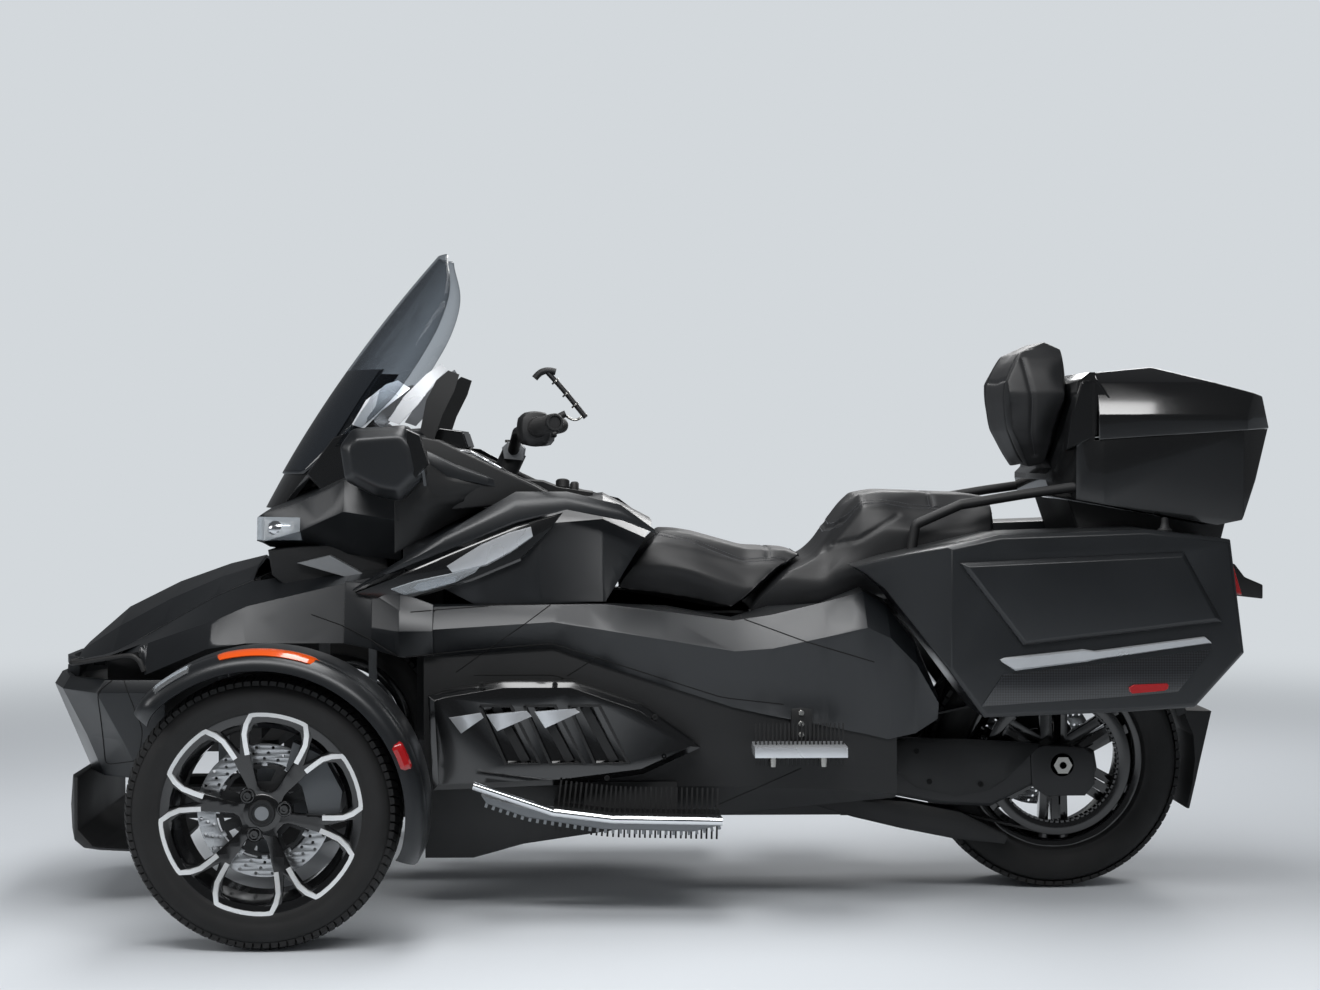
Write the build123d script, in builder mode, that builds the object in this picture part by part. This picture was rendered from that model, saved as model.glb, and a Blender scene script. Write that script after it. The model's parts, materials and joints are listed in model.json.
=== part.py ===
from build123d import *
import os
from math import cos, hypot, radians, sin, sqrt

os.makedirs("parts", exist_ok=True)

# Frame: +X forward, +Y to the rider's left, +Z up, millimetres.
# The origin is on the floor, at the middle of the overall length and width.

# Driving dimensions of the whole vehicle
NOSE_X = 1370.0
TAIL_X = -1370.0
FRONT_AXLE_X = 823.0
WHEELBASE = 1714.0
REAR_AXLE_X = FRONT_AXLE_X - WHEELBASE
OVERALL_HALF_WIDTH = 777.0
FRONT_TRACK_HALF = OVERALL_HALF_WIDTH - 123.0

# Clearances: soft pieces on what carries them, rigid pieces on each other
SOFT_FIT = 0.4
FIT = 0.3

# Tyres, at their loaded radius so that they stand on the floor
FRONT_TYRE_R = 276.0
FRONT_TYRE_WIDTH = 165.0
REAR_TYRE_R = 294.0
REAR_TYRE_WIDTH = 225.0
RIM_SEAT_R = 190.0
FLANGE_R = 204.0
FLANGE_T = 8.0
FRONT_RIM_WIDTH = 127.0
REAR_RIM_WIDTH = 178.0
BEAD_GAP = 0.4

# Front knuckle and hub
KINGPIN_Y = FRONT_TRACK_HALF - 54.0
KNUCKLE_IN_Y = KINGPIN_Y - 54.0
KINGPIN_LOW_Z = 166.0
KINGPIN_HIGH_Z = 392.0
HUB_FACE_Y = FRONT_TRACK_HALF + 36.0
STUB_R = 14.0
DISC_R = 135.0
DISC_HOLE_R = 40.0
DISC_T = 6.0
DISC_Y = FRONT_TRACK_HALF + 18.0

# Chassis
RAIL_HALF = 110.0
SKIRT_IN_Y = 300.0
SKIRT_OUT_Y = 330.0
FAIRING_OUT_Y = 378.0
PANEL_T = 6.0
SPINE_TOP_Z = 626.0
TYRE_TOP_GAP = 38.0
REAR_RAIL_BOTTOM_Z = 2 * REAR_TYRE_R + TYRE_TOP_GAP
REAR_RAIL_TOP_Z = REAR_RAIL_BOTTOM_Z + 38.0
FLOOR_TOP_Z = 205.0
FLOOR_BOTTOM_Z = 170.0
TUB_BOTTOM_Z = 330.0
TANK_BOTTOM_Z = 668.0

# Cases
CASE_IN_Y = 215.0
CASE_OUT_Y = 452.0
CASE_WALL = 6.0
CASE_LID_T = 16.0
TOP_CASE_HALF = 290.0
TOP_CASE_WALL = 6.0
TOP_LID_OVERHANG = 4.0

# Steering column, raked back
COLUMN_X = 350.0
COLUMN_Z = 980.0
COLUMN_RAKE = 25.0
COLUMN_R = 18.0
HEAD_TUBE_R = 34.0


def save(part, name):
    """Label a finished piece and write its STEP file."""
    part.label = name
    export_step(part, f"parts/{name}.step")


def rib_loft(sections):
    """Ruled loft through closed outlines that stand across the vehicle: rows of x, [(y, z), ...]."""
    with BuildPart() as body:
        for pair in zip(sections, sections[1:]):
            for x, outline in pair:
                with BuildSketch(Plane.YZ.offset(x)):
                    with BuildLine():
                        Polyline(*outline, close=True)
                    make_face()
            loft(ruled=True)
    return body.part


def both_sides(row):
    """Closed outline across the vehicle from a row of x and the (y, z) corners of its left half."""
    x, left = row
    return x, left + [(-y, z) for y, z in reversed(left)]


def side_plate(outline, y_from, y_to):
    """Plate with a side outline of (x, z) points, between two distances to the left of the middle."""
    with BuildPart() as plate:
        with BuildSketch(Plane.XZ.offset(-y_from)):
            with BuildLine():
                Polyline(*outline, close=True)
            make_face()
        extrude(amount=-(y_to - y_from))
    return plate.part


def front_prism(half_outline):
    """Prism along the whole vehicle with a front outline, given by the (y, z) corners of its left half."""
    x, outline = both_sides((0, half_outline))
    with BuildPart() as prism:
        with BuildSketch(Plane.YZ.offset(2 * TAIL_X)):
            with BuildLine():
                Polyline(*outline, close=True)
            make_face()
        extrude(amount=2 * (NOSE_X - TAIL_X))
    return prism.part


def plan_prism(half_outline):
    """Tall prism with a plan outline, given by the (x, y) corners of its left half from front to back."""
    outline = half_outline + [(x, -y) for x, y in reversed(half_outline)]
    with BuildPart() as prism:
        with BuildSketch(Plane.XY):
            with BuildLine():
                Polyline(*outline, close=True)
            make_face()
        extrude(amount=NOSE_X)
    return prism.part


def slab(x_from, x_to, y_from, y_to, z_from, z_to):
    """Plain block between six planes."""
    with BuildPart() as block:
        with Locations(((x_from + x_to) / 2, (y_from + y_to) / 2, (z_from + z_to) / 2)):
            Box(x_to - x_from, y_to - y_from, z_to - z_from)
    return block.part


def tube(points, radius, corner):
    """Round bar along straight runs joined by arcs."""
    with BuildPart() as bar:
        with BuildLine() as path:
            FilletPolyline(*points, radius=corner)
        with BuildSketch(Plane(origin=path.line @ 0, z_dir=path.line % 0)):
            Circle(radius)
        sweep()
    return bar.part


# One forked spoke of the front wheels, pointing away from the hub: (along, across)
FRONT_SPOKE = [
    (40, -15),
    (122, -15.5),
    (160, -27.5),
    (178, -46),
    (184, -30),
    (138, 0),
    (184, 30),
    (178, 46),
    (160, 27.5),
    (122, 15.5),
    (40, 15),
]
FRONT_SPOKE_TURN = 10.5

# The two bars of one rear spoke
REAR_SPOKE_LOW = [(40, -30), (183, -34), (184, -14), (40, -8)]
REAR_SPOKE_HIGH = [(40, 8), (184, 14), (183, 34), (40, 30)]
REAR_SPOKE_TURN = 30.0
SPOKES = 6
HUB_R = 56.0
BARREL_T = 8.0


def wheel_rim(rim_half, face_y, spoke_depth, spoke_turn, spoke_outlines):
    """Rim barrel, hub and spokes around the Y axis, outer face towards +Y."""
    flange_out = rim_half + FLANGE_T
    well_r = RIM_SEAT_R - 14
    with BuildPart() as rim:
        with BuildSketch(Plane.XY):
            with BuildLine():
                Polyline(
                    (FLANGE_R, flange_out),
                    (FLANGE_R, rim_half),
                    (RIM_SEAT_R, rim_half - 2),
                    (RIM_SEAT_R, rim_half - 16),
                    (well_r, rim_half - 30),
                    (well_r, -rim_half + 30),
                    (RIM_SEAT_R, -rim_half + 16),
                    (RIM_SEAT_R, -rim_half + 2),
                    (FLANGE_R, -rim_half),
                    (FLANGE_R, -flange_out),
                    (FLANGE_R - BARREL_T, -flange_out),
                    (RIM_SEAT_R - BARREL_T, -rim_half - 3),
                    (RIM_SEAT_R - BARREL_T, -rim_half + 14),
                    (well_r - BARREL_T, -rim_half + 34),
                    (well_r - BARREL_T, rim_half - 34),
                    (RIM_SEAT_R - BARREL_T, rim_half - 14),
                    (RIM_SEAT_R - BARREL_T, rim_half + 3),
                    (FLANGE_R - BARREL_T, flange_out),
                    close=True,
                )
            make_face()
        revolve(axis=Axis.Y)
        with BuildSketch(Plane.XZ.offset(-face_y)):
            Circle(HUB_R)
            with PolarLocations(0, SPOKES, spoke_turn):
                for outline in spoke_outlines:
                    Polygon(*outline, align=None)
        extrude(amount=spoke_depth)
    return rim.part


def tyre(radius, width, rim_half):
    """Road tyre around the Y axis, its bead seated on the rim."""
    half = width / 2
    bead = rim_half - 2.6
    lip = rim_half - 0.5
    with BuildPart() as ring:
        with BuildSketch(Plane.XY):
            with BuildLine():
                Polyline(
                    (RIM_SEAT_R + BEAD_GAP, bead - 4),
                    (RIM_SEAT_R + BEAD_GAP + 4, lip - 1),
                    (FLANGE_R + 1, lip),
                    (FLANGE_R + 6, (half + lip) / 2 + 2),
                    ((FLANGE_R + radius) / 2 - 3, half),
                    (radius - 16, half - 5),
                    (radius - 5, half - 17),
                    (radius, half - 34),
                    (radius, 34 - half),
                    (radius - 5, 17 - half),
                    (radius - 16, 5 - half),
                    ((FLANGE_R + radius) / 2 - 3, -half),
                    (FLANGE_R + 6, -(half + lip) / 2 - 2),
                    (FLANGE_R + 1, -lip),
                    (RIM_SEAT_R + BEAD_GAP + 4, 1 - lip),
                    (RIM_SEAT_R + BEAD_GAP, 4 - bead),
                    close=True,
                )
            make_face()
        revolve(axis=Axis.Y)
    return ring.part


# Frame: floor plate, front rails, bulkheads, spine, rear rails and the brackets that carry the panels
COLUMN_TOP = Plane(
    origin=(COLUMN_X, 0, COLUMN_Z),
    x_dir=(cos(radians(COLUMN_RAKE)), 0, sin(radians(COLUMN_RAKE))),
    z_dir=(-sin(radians(COLUMN_RAKE)), 0, cos(radians(COLUMN_RAKE))),
)
# Where the crossbar meets the front flanks and where the rear post meets the top case
FLANK_BAR_HALF = 322.9
TOP_CASE_POST_Z = 841.8
FRAME_BLOCKS = [
    # x from, x to, y from, y to, z from, z to
    (-480, 560, -100, 100, FLOOR_BOTTOM_Z, FLOOR_TOP_Z),
    (500, 560, -RAIL_HALF, RAIL_HALF, FLOOR_BOTTOM_Z, 700),
    (560, 1180, 60, RAIL_HALF, FLOOR_BOTTOM_Z, 240),
    (560, 1180, -RAIL_HALF, -60, FLOOR_BOTTOM_Z, 240),
    (1120, 1180, -RAIL_HALF, RAIL_HALF, FLOOR_BOTTOM_Z, TUB_BOTTOM_Z),
    (780, 860, -RAIL_HALF, RAIL_HALF, FLOOR_BOTTOM_Z, 600),
    (780, 860, -FLANK_BAR_HALF, FLANK_BAR_HALF, 584, 600),
    (520, 622, -80, 80, 660, 700),
    (582, 622, -80, 80, 660, 760),
    (300, 400, -100, 100, SPINE_TOP_Z - 6, TANK_BOTTOM_Z),
    (-1180, -1140, -90, 90, REAR_RAIL_TOP_Z - 6, TOP_CASE_POST_Z),
    (-480, -400, -RAIL_HALF, RAIL_HALF, FLOOR_BOTTOM_Z, SPINE_TOP_Z),
    (-480, 560, -40, 40, SPINE_TOP_Z - 46, SPINE_TOP_Z),
    (-1180, -400, 50, 90, REAR_RAIL_BOTTOM_Z, REAR_RAIL_TOP_Z),
    (-1180, -400, -90, -50, REAR_RAIL_BOTTOM_Z, REAR_RAIL_TOP_Z),
    (-480, -400, -90, 90, SPINE_TOP_Z - 20, REAR_RAIL_TOP_Z),
    (-1180, -1140, -CASE_IN_Y, CASE_IN_Y, REAR_RAIL_BOTTOM_Z, REAR_RAIL_TOP_Z),
    (-700, -660, -CASE_IN_Y, CASE_IN_Y, REAR_RAIL_BOTTOM_Z, REAR_RAIL_TOP_Z),
    (500, 540, -SKIRT_IN_Y, SKIRT_IN_Y, 330, 370),
    (-460, -420, -SKIRT_IN_Y, SKIRT_IN_Y, 290, 320),
    (500, 540, -SKIRT_IN_Y, SKIRT_IN_Y, 600, 640),
]
with BuildPart() as frame:
    for x0, x1, y0, y1, z0, z1 in FRAME_BLOCKS:
        with Locations(((x0 + x1) / 2, (y0 + y1) / 2, (z0 + z1) / 2)):
            Box(x1 - x0, y1 - y0, z1 - z0)
    with BuildSketch(COLUMN_TOP.offset(-120)):
        Circle(HEAD_TUBE_R)
    extrude(amount=-260)
    with BuildSketch(COLUMN_TOP.offset(-120)):
        Circle(COLUMN_R + FIT)
    extrude(amount=-160, mode=Mode.SUBTRACT)
save(frame.part, "frame")

# Engine: one plain block, the gearbox behind it and the front belt pulley
PULLEY_X = -340.0
PULLEY_Z = 300.0
PULLEY_R = 40.0
BELT_IN_Y = 116.0
BELT_WIDTH = 16.0
ENGINE_HALF = 190.0
ENGINE_BLOCKS = [
    # x from, x to, half width, z from, z to
    (-80, 330, ENGINE_HALF, 215, 565),
    (-390, -80, BELT_IN_Y - 4, 215, 475),
]
with BuildPart() as engine:
    for x0, x1, half, z0, z1 in ENGINE_BLOCKS:
        add(slab(x0, x1, -half, half, z0, z1))
    with BuildSketch(Plane.XZ.offset(-(BELT_IN_Y - 4))):
        with Locations((PULLEY_X, PULLEY_Z)):
            Circle(PULLEY_R)
    extrude(amount=-(BELT_WIDTH + 4))
    with BuildSketch(COLUMN_TOP.offset(-120)):
        Circle(HEAD_TUBE_R + 6)
    extrude(amount=-400, mode=Mode.SUBTRACT)
save(engine.part, "engine")

# Front bumper: a shell that wraps round the nose, open above and behind, with a lip above its slot
NOSE_WALL = 12.0
NOSE_BACK_X = 1085.0
NOSE_LEVELS = [
    # height, x of the front face, half width of the front face, half width of the sides
    (286, 1280, 150, 300),
    (376, 1318, 150, 328),
    (478, NOSE_X, 120, 340),
    (505, 1354, 115, 334),
]
LIP_OUTLINE = [(1352, 70), (1338, 122), (1312, 150)]
LIP_BOTTOM_Z = 520.0
LIP_TOP_Z = 538.0
LIP_DEPTH = 14.0


def nose_outline(front_x, front_half, side_half):
    """Plan outline of the bumper at one height."""
    left = [
        (front_x, front_half),
        (front_x - 45, 240),
        (front_x - 140, side_half),
        (NOSE_BACK_X, side_half),
    ]
    return left + [(x, -y) for x, y in reversed(left)]


with BuildPart() as nose_inside:
    for height, front_x, front_half, side_half in NOSE_LEVELS:
        inner = nose_outline(front_x - NOSE_WALL, front_half - 4, side_half - NOSE_WALL)
        with BuildSketch(Plane.XY.offset(height)):
            Polygon(*inner, align=None)
    loft(ruled=True)

lip_right = [(x, -y) for x, y in LIP_OUTLINE]
lip_outline = LIP_OUTLINE + [(x - LIP_DEPTH, y - 3) for x, y in reversed(LIP_OUTLINE)]
lip_outline += [(x - LIP_DEPTH, 3 - y) for x, y in LIP_OUTLINE] + list(reversed(lip_right))
with BuildPart() as nose:
    for height, front_x, front_half, side_half in NOSE_LEVELS:
        with BuildSketch(Plane.XY.offset(height)):
            Polygon(*nose_outline(front_x, front_half, side_half), align=None)
    loft(ruled=True)
    add(nose_inside.part, mode=Mode.SUBTRACT)
    add(slab(1180 + SOFT_FIT, 1300, -80, 80, 286, 312))
    with BuildSketch(Plane.XY.offset(LIP_BOTTOM_Z)):
        Polygon(*lip_outline, align=None)
    extrude(amount=LIP_TOP_Z - LIP_BOTTOM_Z)
    for side in (-1, 1):
        with Locations((1322, side * 134, 508)):
            Box(26, 24, 2 * (LIP_BOTTOM_Z + 2 - 508))
save(nose.part, "nose")

# Chin: the low lip under the bumper
CHIN_TOP_Z = 286.0
CHIN_PLAN = [(1336, 120), (1300, 250), (1220, 330), (1080, 345)]
CHIN_SIDE = [
    (1336, 206),
    (1323, 156),
    (1250, 120),
    (1100, 100),
    (1100, 112),
    (1240, 134),
    (1290, 168),
    (1290, CHIN_TOP_Z),
    (1310, CHIN_TOP_Z),
]
# Front outline that lifts the lip towards the wheels
CHIN_FRONT = [(400, CHIN_TOP_Z), (400, 168), (240, 122), (140, 92)]
with BuildPart() as chin:
    add(side_plate(CHIN_SIDE, -400, 400))
    add(plan_prism(CHIN_PLAN), mode=Mode.INTERSECT)
    add(front_prism(CHIN_FRONT), mode=Mode.INTERSECT)
save(chin.part, "chin")

# Front trunk: tub, and the lid that covers it
TUB_HALF = 180.0
TUB_WALL = 5.0
TUB_BACK_X = 900.0
TUB_FRONT_X = 1240.0
TUB_SIDE = [
    (TUB_BACK_X, TUB_BOTTOM_Z),
    (1140, TUB_BOTTOM_Z),
    (TUB_FRONT_X, 420),
    (TUB_FRONT_X, 537),
    (1225, 547),
    (1109, 622),
    (994, 682),
    (912, 714),
    (TUB_BACK_X, 717),
]
TUB_HOLLOW = [
    (TUB_BACK_X + TUB_WALL, TUB_BOTTOM_Z + TUB_WALL),
    (1138, TUB_BOTTOM_Z + TUB_WALL),
    (TUB_FRONT_X - TUB_WALL, 422),
    (TUB_FRONT_X - TUB_WALL, 800),
    (TUB_BACK_X + TUB_WALL, 800),
]
with BuildPart() as trunk_tub:
    add(side_plate(TUB_SIDE, -TUB_HALF, TUB_HALF))
    add(side_plate(TUB_HOLLOW, TUB_WALL - TUB_HALF, TUB_HALF - TUB_WALL), mode=Mode.SUBTRACT)
save(trunk_tub.part, "trunk_tub")

LID_T = 7.0
LID_ROWS = [
    # x, half width, height at the edge, height at the middle
    (1318, 118, 532, 560),
    (1225, 190, 548, 641),
    (1109, 203, 616, 699),
    (994, 204, 680, 740),
    (912, 204, 714, 760),
]


def crowned(half, z_edge, z_middle, thickness):
    """Closed outline of a crowned panel across the vehicle."""
    top = [(-half, z_edge), (-0.6 * half, z_edge + 0.62 * (z_middle - z_edge)), (0, z_middle)]
    top += [(-y, z) for y, z in reversed(top[:-1])]
    return top + [(y, z - thickness) for y, z in reversed(top)]


trunk_lid = rib_loft([(x, crowned(half, z_edge, z_mid, LID_T)) for x, half, z_edge, z_mid in LID_ROWS])
save(trunk_lid, "trunk_lid")

# Front flanks: the panels beside the trunk, from the nose back to the fuel tank cover
FLANK_ROWS = [
    # x, y and z at the lid's edge, y and z at the crease, y and z at the lower edge
    (1300, 152, 534, 250, 540, 296, 536),
    (1225, 196, 545, 284, 556, 322, 550),
    (1142, 206, 594, 300, 576, 332, 566),
    (1128, 207, 602, 302, 582, 335, 516),
    (994, 210, 677, 305, 628, 335, 572),
    (912, 210, 711, 303, 662, 335, 584),
    (700, 214, 742, 300, 712, 335, 584),
    (575, 250, 742, 312, 738, 340, 560),
]


def flank_outline(row):
    """Thin bent strip across one flank."""
    x, y_top, z_top, y_crease, z_crease, y_low, z_low = row
    outer = [(y_top, z_top), (y_crease, z_crease), (y_low, z_low)]
    inner = [(y_low - PANEL_T, z_low), (y_crease - PANEL_T, z_crease - PANEL_T), (y_top, z_top - PANEL_T)]
    return x, outer + inner


with BuildPart() as front_flanks:
    add(rib_loft([flank_outline(row) for row in FLANK_ROWS]))
    mirror(about=Plane.XZ)
save(front_flanks.part, "front_flanks")

# Headlight cowl, with the headlamp lenses let into its face
COWL_ROWS = [
    # x, then the corners of the left half from the top down
    (904, [(90, 858), (205, 852), (210, 800), (120, 792)]),
    (885, [(90, 872), (222, 864), (240, 800), (140, 784)]),
    (800, [(90, 915), (262, 889), (285, 824), (190, 776)]),
    (700, [(100, 955), (310, 935), (338, 868), (240, 772)]),
    (580, [(150, 985), (330, 965), (345, 850), (270, 760)]),
]
LAMP_Y = 215.0
LAMP_Z = 828.0
LAMP_WIDTH = 150.0
LAMP_HEIGHT = 52.0
LAMP_BACK_X = 800.0
cowl_body = rib_loft([both_sides(row) for row in COWL_ROWS])
with BuildPart() as headlight_cowl:
    add(cowl_body)
    for side in (-1, 1):
        with Locations((LAMP_BACK_X + 60, side * LAMP_Y, LAMP_Z)):
            Box(120, LAMP_WIDTH, LAMP_HEIGHT, mode=Mode.SUBTRACT)
save(headlight_cowl.part, "headlight_cowl")

with BuildPart() as headlamps:
    for side in (-1, 1):
        with Locations((LAMP_BACK_X + 60 + FIT, side * LAMP_Y, LAMP_Z)):
            Box(120, LAMP_WIDTH - 2 * FIT, LAMP_HEIGHT - 2 * FIT)
    add(cowl_body, mode=Mode.INTERSECT)
save(headlamps.part, "headlamps")

# Windshield: a curved sheet that leans back, and the panel that holds it
SHIELD_BASE_X = 862.0
SHIELD_BASE_Z = 948.0
SHIELD_TOP_X = 518.0
SHIELD_TOP_Z = 1442.0
SHIELD_HALF = 230.0
SHIELD_SWEEP = 170.0
SHIELD_BOW = 26.0
SHIELD_T = 5.0
SHIELD_CARRIER_T = 14.0
SHIELD_LOW_Z = 870.0
SHIELD_LEAN = (SHIELD_TOP_X - SHIELD_BASE_X) / (SHIELD_TOP_Z - SHIELD_BASE_Z)
SHIELD_OUTLINE = [
    (110, SHIELD_TOP_Z),
    (205, SHIELD_TOP_Z - 77),
    (226, SHIELD_TOP_Z - 177),
    (SHIELD_HALF, 1120),
    (167, SHIELD_BASE_Z),
]
CARRIER_OUTLINE = [(120, 1170), (200, 1060), (150, SHIELD_LOW_Z)]


def shield_sheet(front, thickness):
    """Leaning curved sheet, bowed forwards at half its height, its front face set back by a distance."""
    middle_z = (SHIELD_LOW_Z + SHIELD_TOP_Z) / 2
    with BuildPart() as sheet:
        for z, bow in ((SHIELD_LOW_Z, 0), (middle_z, SHIELD_BOW), (SHIELD_TOP_Z, 0)):
            x_mid = SHIELD_BASE_X + SHIELD_LEAN * (z - SHIELD_BASE_Z) + bow - front
            x_side = x_mid - SHIELD_SWEEP
            x_back = x_mid - thickness
            x_back_side = x_side - thickness
            with BuildSketch(Plane.XY.offset(z)):
                with BuildLine():
                    ThreePointArc((x_side, -SHIELD_HALF), (x_mid, 0), (x_side, SHIELD_HALF))
                    Line((x_side, SHIELD_HALF), (x_back_side, SHIELD_HALF))
                    ThreePointArc((x_back_side, SHIELD_HALF), (x_back, 0), (x_back_side, -SHIELD_HALF))
                    Line((x_back_side, -SHIELD_HALF), (x_side, -SHIELD_HALF))
                make_face()
        loft()
    return sheet.part


with BuildPart() as windshield:
    add(shield_sheet(0, SHIELD_T))
    add(front_prism(SHIELD_OUTLINE), mode=Mode.INTERSECT)
save(windshield.part, "windshield")

# Windshield base: the carrier behind the glass, down to the cowl
with BuildPart() as windshield_base:
    add(shield_sheet(SHIELD_T + SOFT_FIT, SHIELD_CARRIER_T))
    add(front_prism(CARRIER_OUTLINE), mode=Mode.INTERSECT)
    add(headlight_cowl.part, mode=Mode.SUBTRACT)
save(windshield_base.part, "windshield_base")

# Mirrors on the cowl's shoulders
MIRROR_IN_Y = 345.4
MIRROR_WIDTH = 95.0
MIRROR_CHAMFER = 22.0
MIRROR_SIDE = [
    (698, 1010),
    (672, 1046),
    (559, 1054),
    (531, 1021),
    (516, 946),
    (569, 893),
    (623, 903),
    (687, 936),
]
with BuildPart() as mirrors:
    add(side_plate(MIRROR_SIDE, MIRROR_IN_Y, MIRROR_IN_Y + MIRROR_WIDTH))
    chamfer(mirrors.faces().sort_by(Axis.Y)[-1].edges(), MIRROR_CHAMFER)
    add(slab(580, 640, 300, MIRROR_IN_Y + 5, 905, 935))
    add(headlight_cowl.part, mode=Mode.SUBTRACT)
    mirror(about=Plane.XZ)
save(mirrors.part, "mirrors")

# Dash: instrument housing and the two shoulders with the speakers
DASH_HALF = 285.0
DASH_SIDE = [
    (580 - SOFT_FIT, 975),
    (560, 1035),
    (499, 1022),
    (293, 925),
    (262, 908),
    (315, 885),
    (580 - SOFT_FIT, 860),
]
with BuildPart() as dash:
    add(side_plate(DASH_SIDE, -DASH_HALF, DASH_HALF))
    with Locations((330, 0, 930)):
        Box(240, 200, 260, mode=Mode.SUBTRACT)
save(dash.part, "dash")

# Fuel tank cover between the knees
TANK_ROWS = [
    # x, then the corners of the left half from the top down
    (574, [(200, 850), (300, 800), (306, 746)]),
    (420, [(200, 868), (322, 790), (328, TANK_BOTTOM_Z)]),
    (280, [(190, 884), (310, 840), (328, TANK_BOTTOM_Z)]),
    (140, [(150, 900), (270, 850), (318, TANK_BOTTOM_Z + 4)]),
    (30, [(110, 842), (230, 800), (290, TANK_BOTTOM_Z + 4)]),
]
TANK_REAR_CUT = [(20, 850), (134, 672), (0, 600), (0, 850)]
with BuildPart() as tank_cover:
    add(rib_loft([both_sides(row) for row in TANK_ROWS]))
    add(side_plate(TANK_REAR_CUT, -400, 400), mode=Mode.SUBTRACT)
    with BuildSketch(COLUMN_TOP):
        Circle(HEAD_TUBE_R + 8)
    extrude(amount=-500, mode=Mode.SUBTRACT)
save(tank_cover.part, "tank_cover")

# Side panels: the low skirts against the frame, with fairings and louvred vents outside them
SKIRT_TOP_Z = 600.0
SKIRT_ROWS = [
    # x, height of the crease, height of the lower edge
    (528, 280, 110),
    (423, 275, 110),
    (314, 270, 140),
    (-122, 270, 204),
    (-362, 262, 226),
    (-500, 252, 238),
]
SKIRT_TUCK = 36.0
SKIRT_T = SKIRT_OUT_Y - SKIRT_IN_Y


def skirt_outline(row):
    """Upright strip across one skirt, its lower part leaning in."""
    x, z_crease, z_low = row
    low_y = SKIRT_OUT_Y - SKIRT_TUCK
    outer = [(SKIRT_OUT_Y, SKIRT_TOP_Z), (SKIRT_OUT_Y, z_crease), (low_y, z_low)]
    return x, outer + [(y - SKIRT_T, z) for y, z in reversed(outer)]


with BuildPart() as side_skirts:
    add(rib_loft([skirt_outline(row) for row in SKIRT_ROWS]))
    mirror(about=Plane.XZ)
save(side_skirts.part, "side_skirts")

# The lower edge of a fairing lies on the skirt
FAIRING_LOW_Y = SKIRT_OUT_Y + FIT + PANEL_T
FAIRING_TOP_Z = TANK_BOTTOM_Z - SOFT_FIT
FAIRING_ROWS = [
    # x, y and z at the seat, y and z of the shoulder, z of the widest line, z of the lower edge
    (575, 322, FAIRING_TOP_Z, 350, 662, 612, 552),
    (248, 322, FAIRING_TOP_Z, 356, 668, 632, 572),
    (134, 300, FAIRING_TOP_Z, 350, 668, 614, 532),
    (0, 216, 656, 330, 650, 592, 488),
    (-144, 210, 630, 322, 630, 568, 442),
    (-226, 208, 654, 318, 642, 574, 424),
    (-339, 208, 660, 308, 668, 598, 402),
    (-430, 208, 696, 290, 690, 618, 384),
    (-480, 226, 672, 296, 662, 596, 372),
    (-540, 296, 592, 326, 580, 536, 385),
    (-588, 318, 472, 330, 466, 452, 416),
]


def fairing_outline(row):
    """Thin strip across one fairing, from the seat over the shoulder to the skirt."""
    x, y_seat, z_seat, y_shoulder, z_shoulder, z_wide, z_low = row
    wide_y = FAIRING_OUT_Y
    if z_seat < SKIRT_TOP_Z:
        wide_y = (FAIRING_OUT_Y + y_shoulder) / 2
    outer = [(y_seat, z_seat), (y_shoulder, z_shoulder), (wide_y, z_wide), (FAIRING_LOW_Y, z_low)]
    inner = [
        (FAIRING_LOW_Y - PANEL_T, z_low),
        (wide_y - PANEL_T, z_wide),
        (y_shoulder - PANEL_T, z_shoulder - PANEL_T),
        (y_seat, z_seat - PANEL_T),
    ]
    return x, outer + inner


with BuildPart() as side_fairings:
    add(rib_loft([fairing_outline(row) for row in FAIRING_ROWS]))
    mirror(about=Plane.XZ)
save(side_fairings.part, "side_fairings")

VENT_SIDE = [
    (516, 474),
    (483, 485),
    (355, 506),
    (205, 506),
    (54, 453),
    (-53, 378),
    (-70, 360),
    (54, 303),
    (226, 281),
    (505, 270),
]
VENT_OUT_Y = 388.0
VENT_CHAMFER = 14.0
LOUVRE_XS = (150, 245, 340)
LOUVRE_DEPTH = 30.0
with BuildPart() as vent_panels:
    add(side_plate(VENT_SIDE, SKIRT_OUT_Y + FIT, VENT_OUT_Y))
    chamfer(vent_panels.faces().sort_by(Axis.Y)[-1].edges(), VENT_CHAMFER)
    for x in LOUVRE_XS:
        louvre = [(x + 60, 450), (x, 450), (x - 60, 330), (x + 5, 330)]
        add(side_plate(louvre, VENT_OUT_Y - LOUVRE_DEPTH, VENT_OUT_Y + 1), mode=Mode.SUBTRACT)
    mirror(about=Plane.XZ)
save(vent_panels.part, "vent_panels")

# Footrests: rider floorboards with a tube along their edge, and passenger pegs
BOARD_OUT_Y = 468.0
BOARD_TUBE = [(414, 470, 294), (351, 470, 273), (246, 470, 237), (119, 470, 221), (-112, 470, 216)]
BOARD_SIDE = [(246, 228), (119, 212), (-112, 207), (-112, 219), (119, 224), (246, 240)]
with BuildPart() as footrests:
    add(tube(BOARD_TUBE, 9, 40))
    add(side_plate(BOARD_SIDE, SKIRT_OUT_Y + FIT, BOARD_OUT_Y))
    add(slab(-20, 180, SKIRT_OUT_Y + FIT, SKIRT_OUT_Y + 8, 216, 282))
    add(slab(-378, -181, 365, 470, 350, 372))
    add(slab(-310, -260, SKIRT_OUT_Y + FIT, 372, 352, 370))
    mirror(about=Plane.XZ)
save(footrests.part, "footrests")

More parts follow.
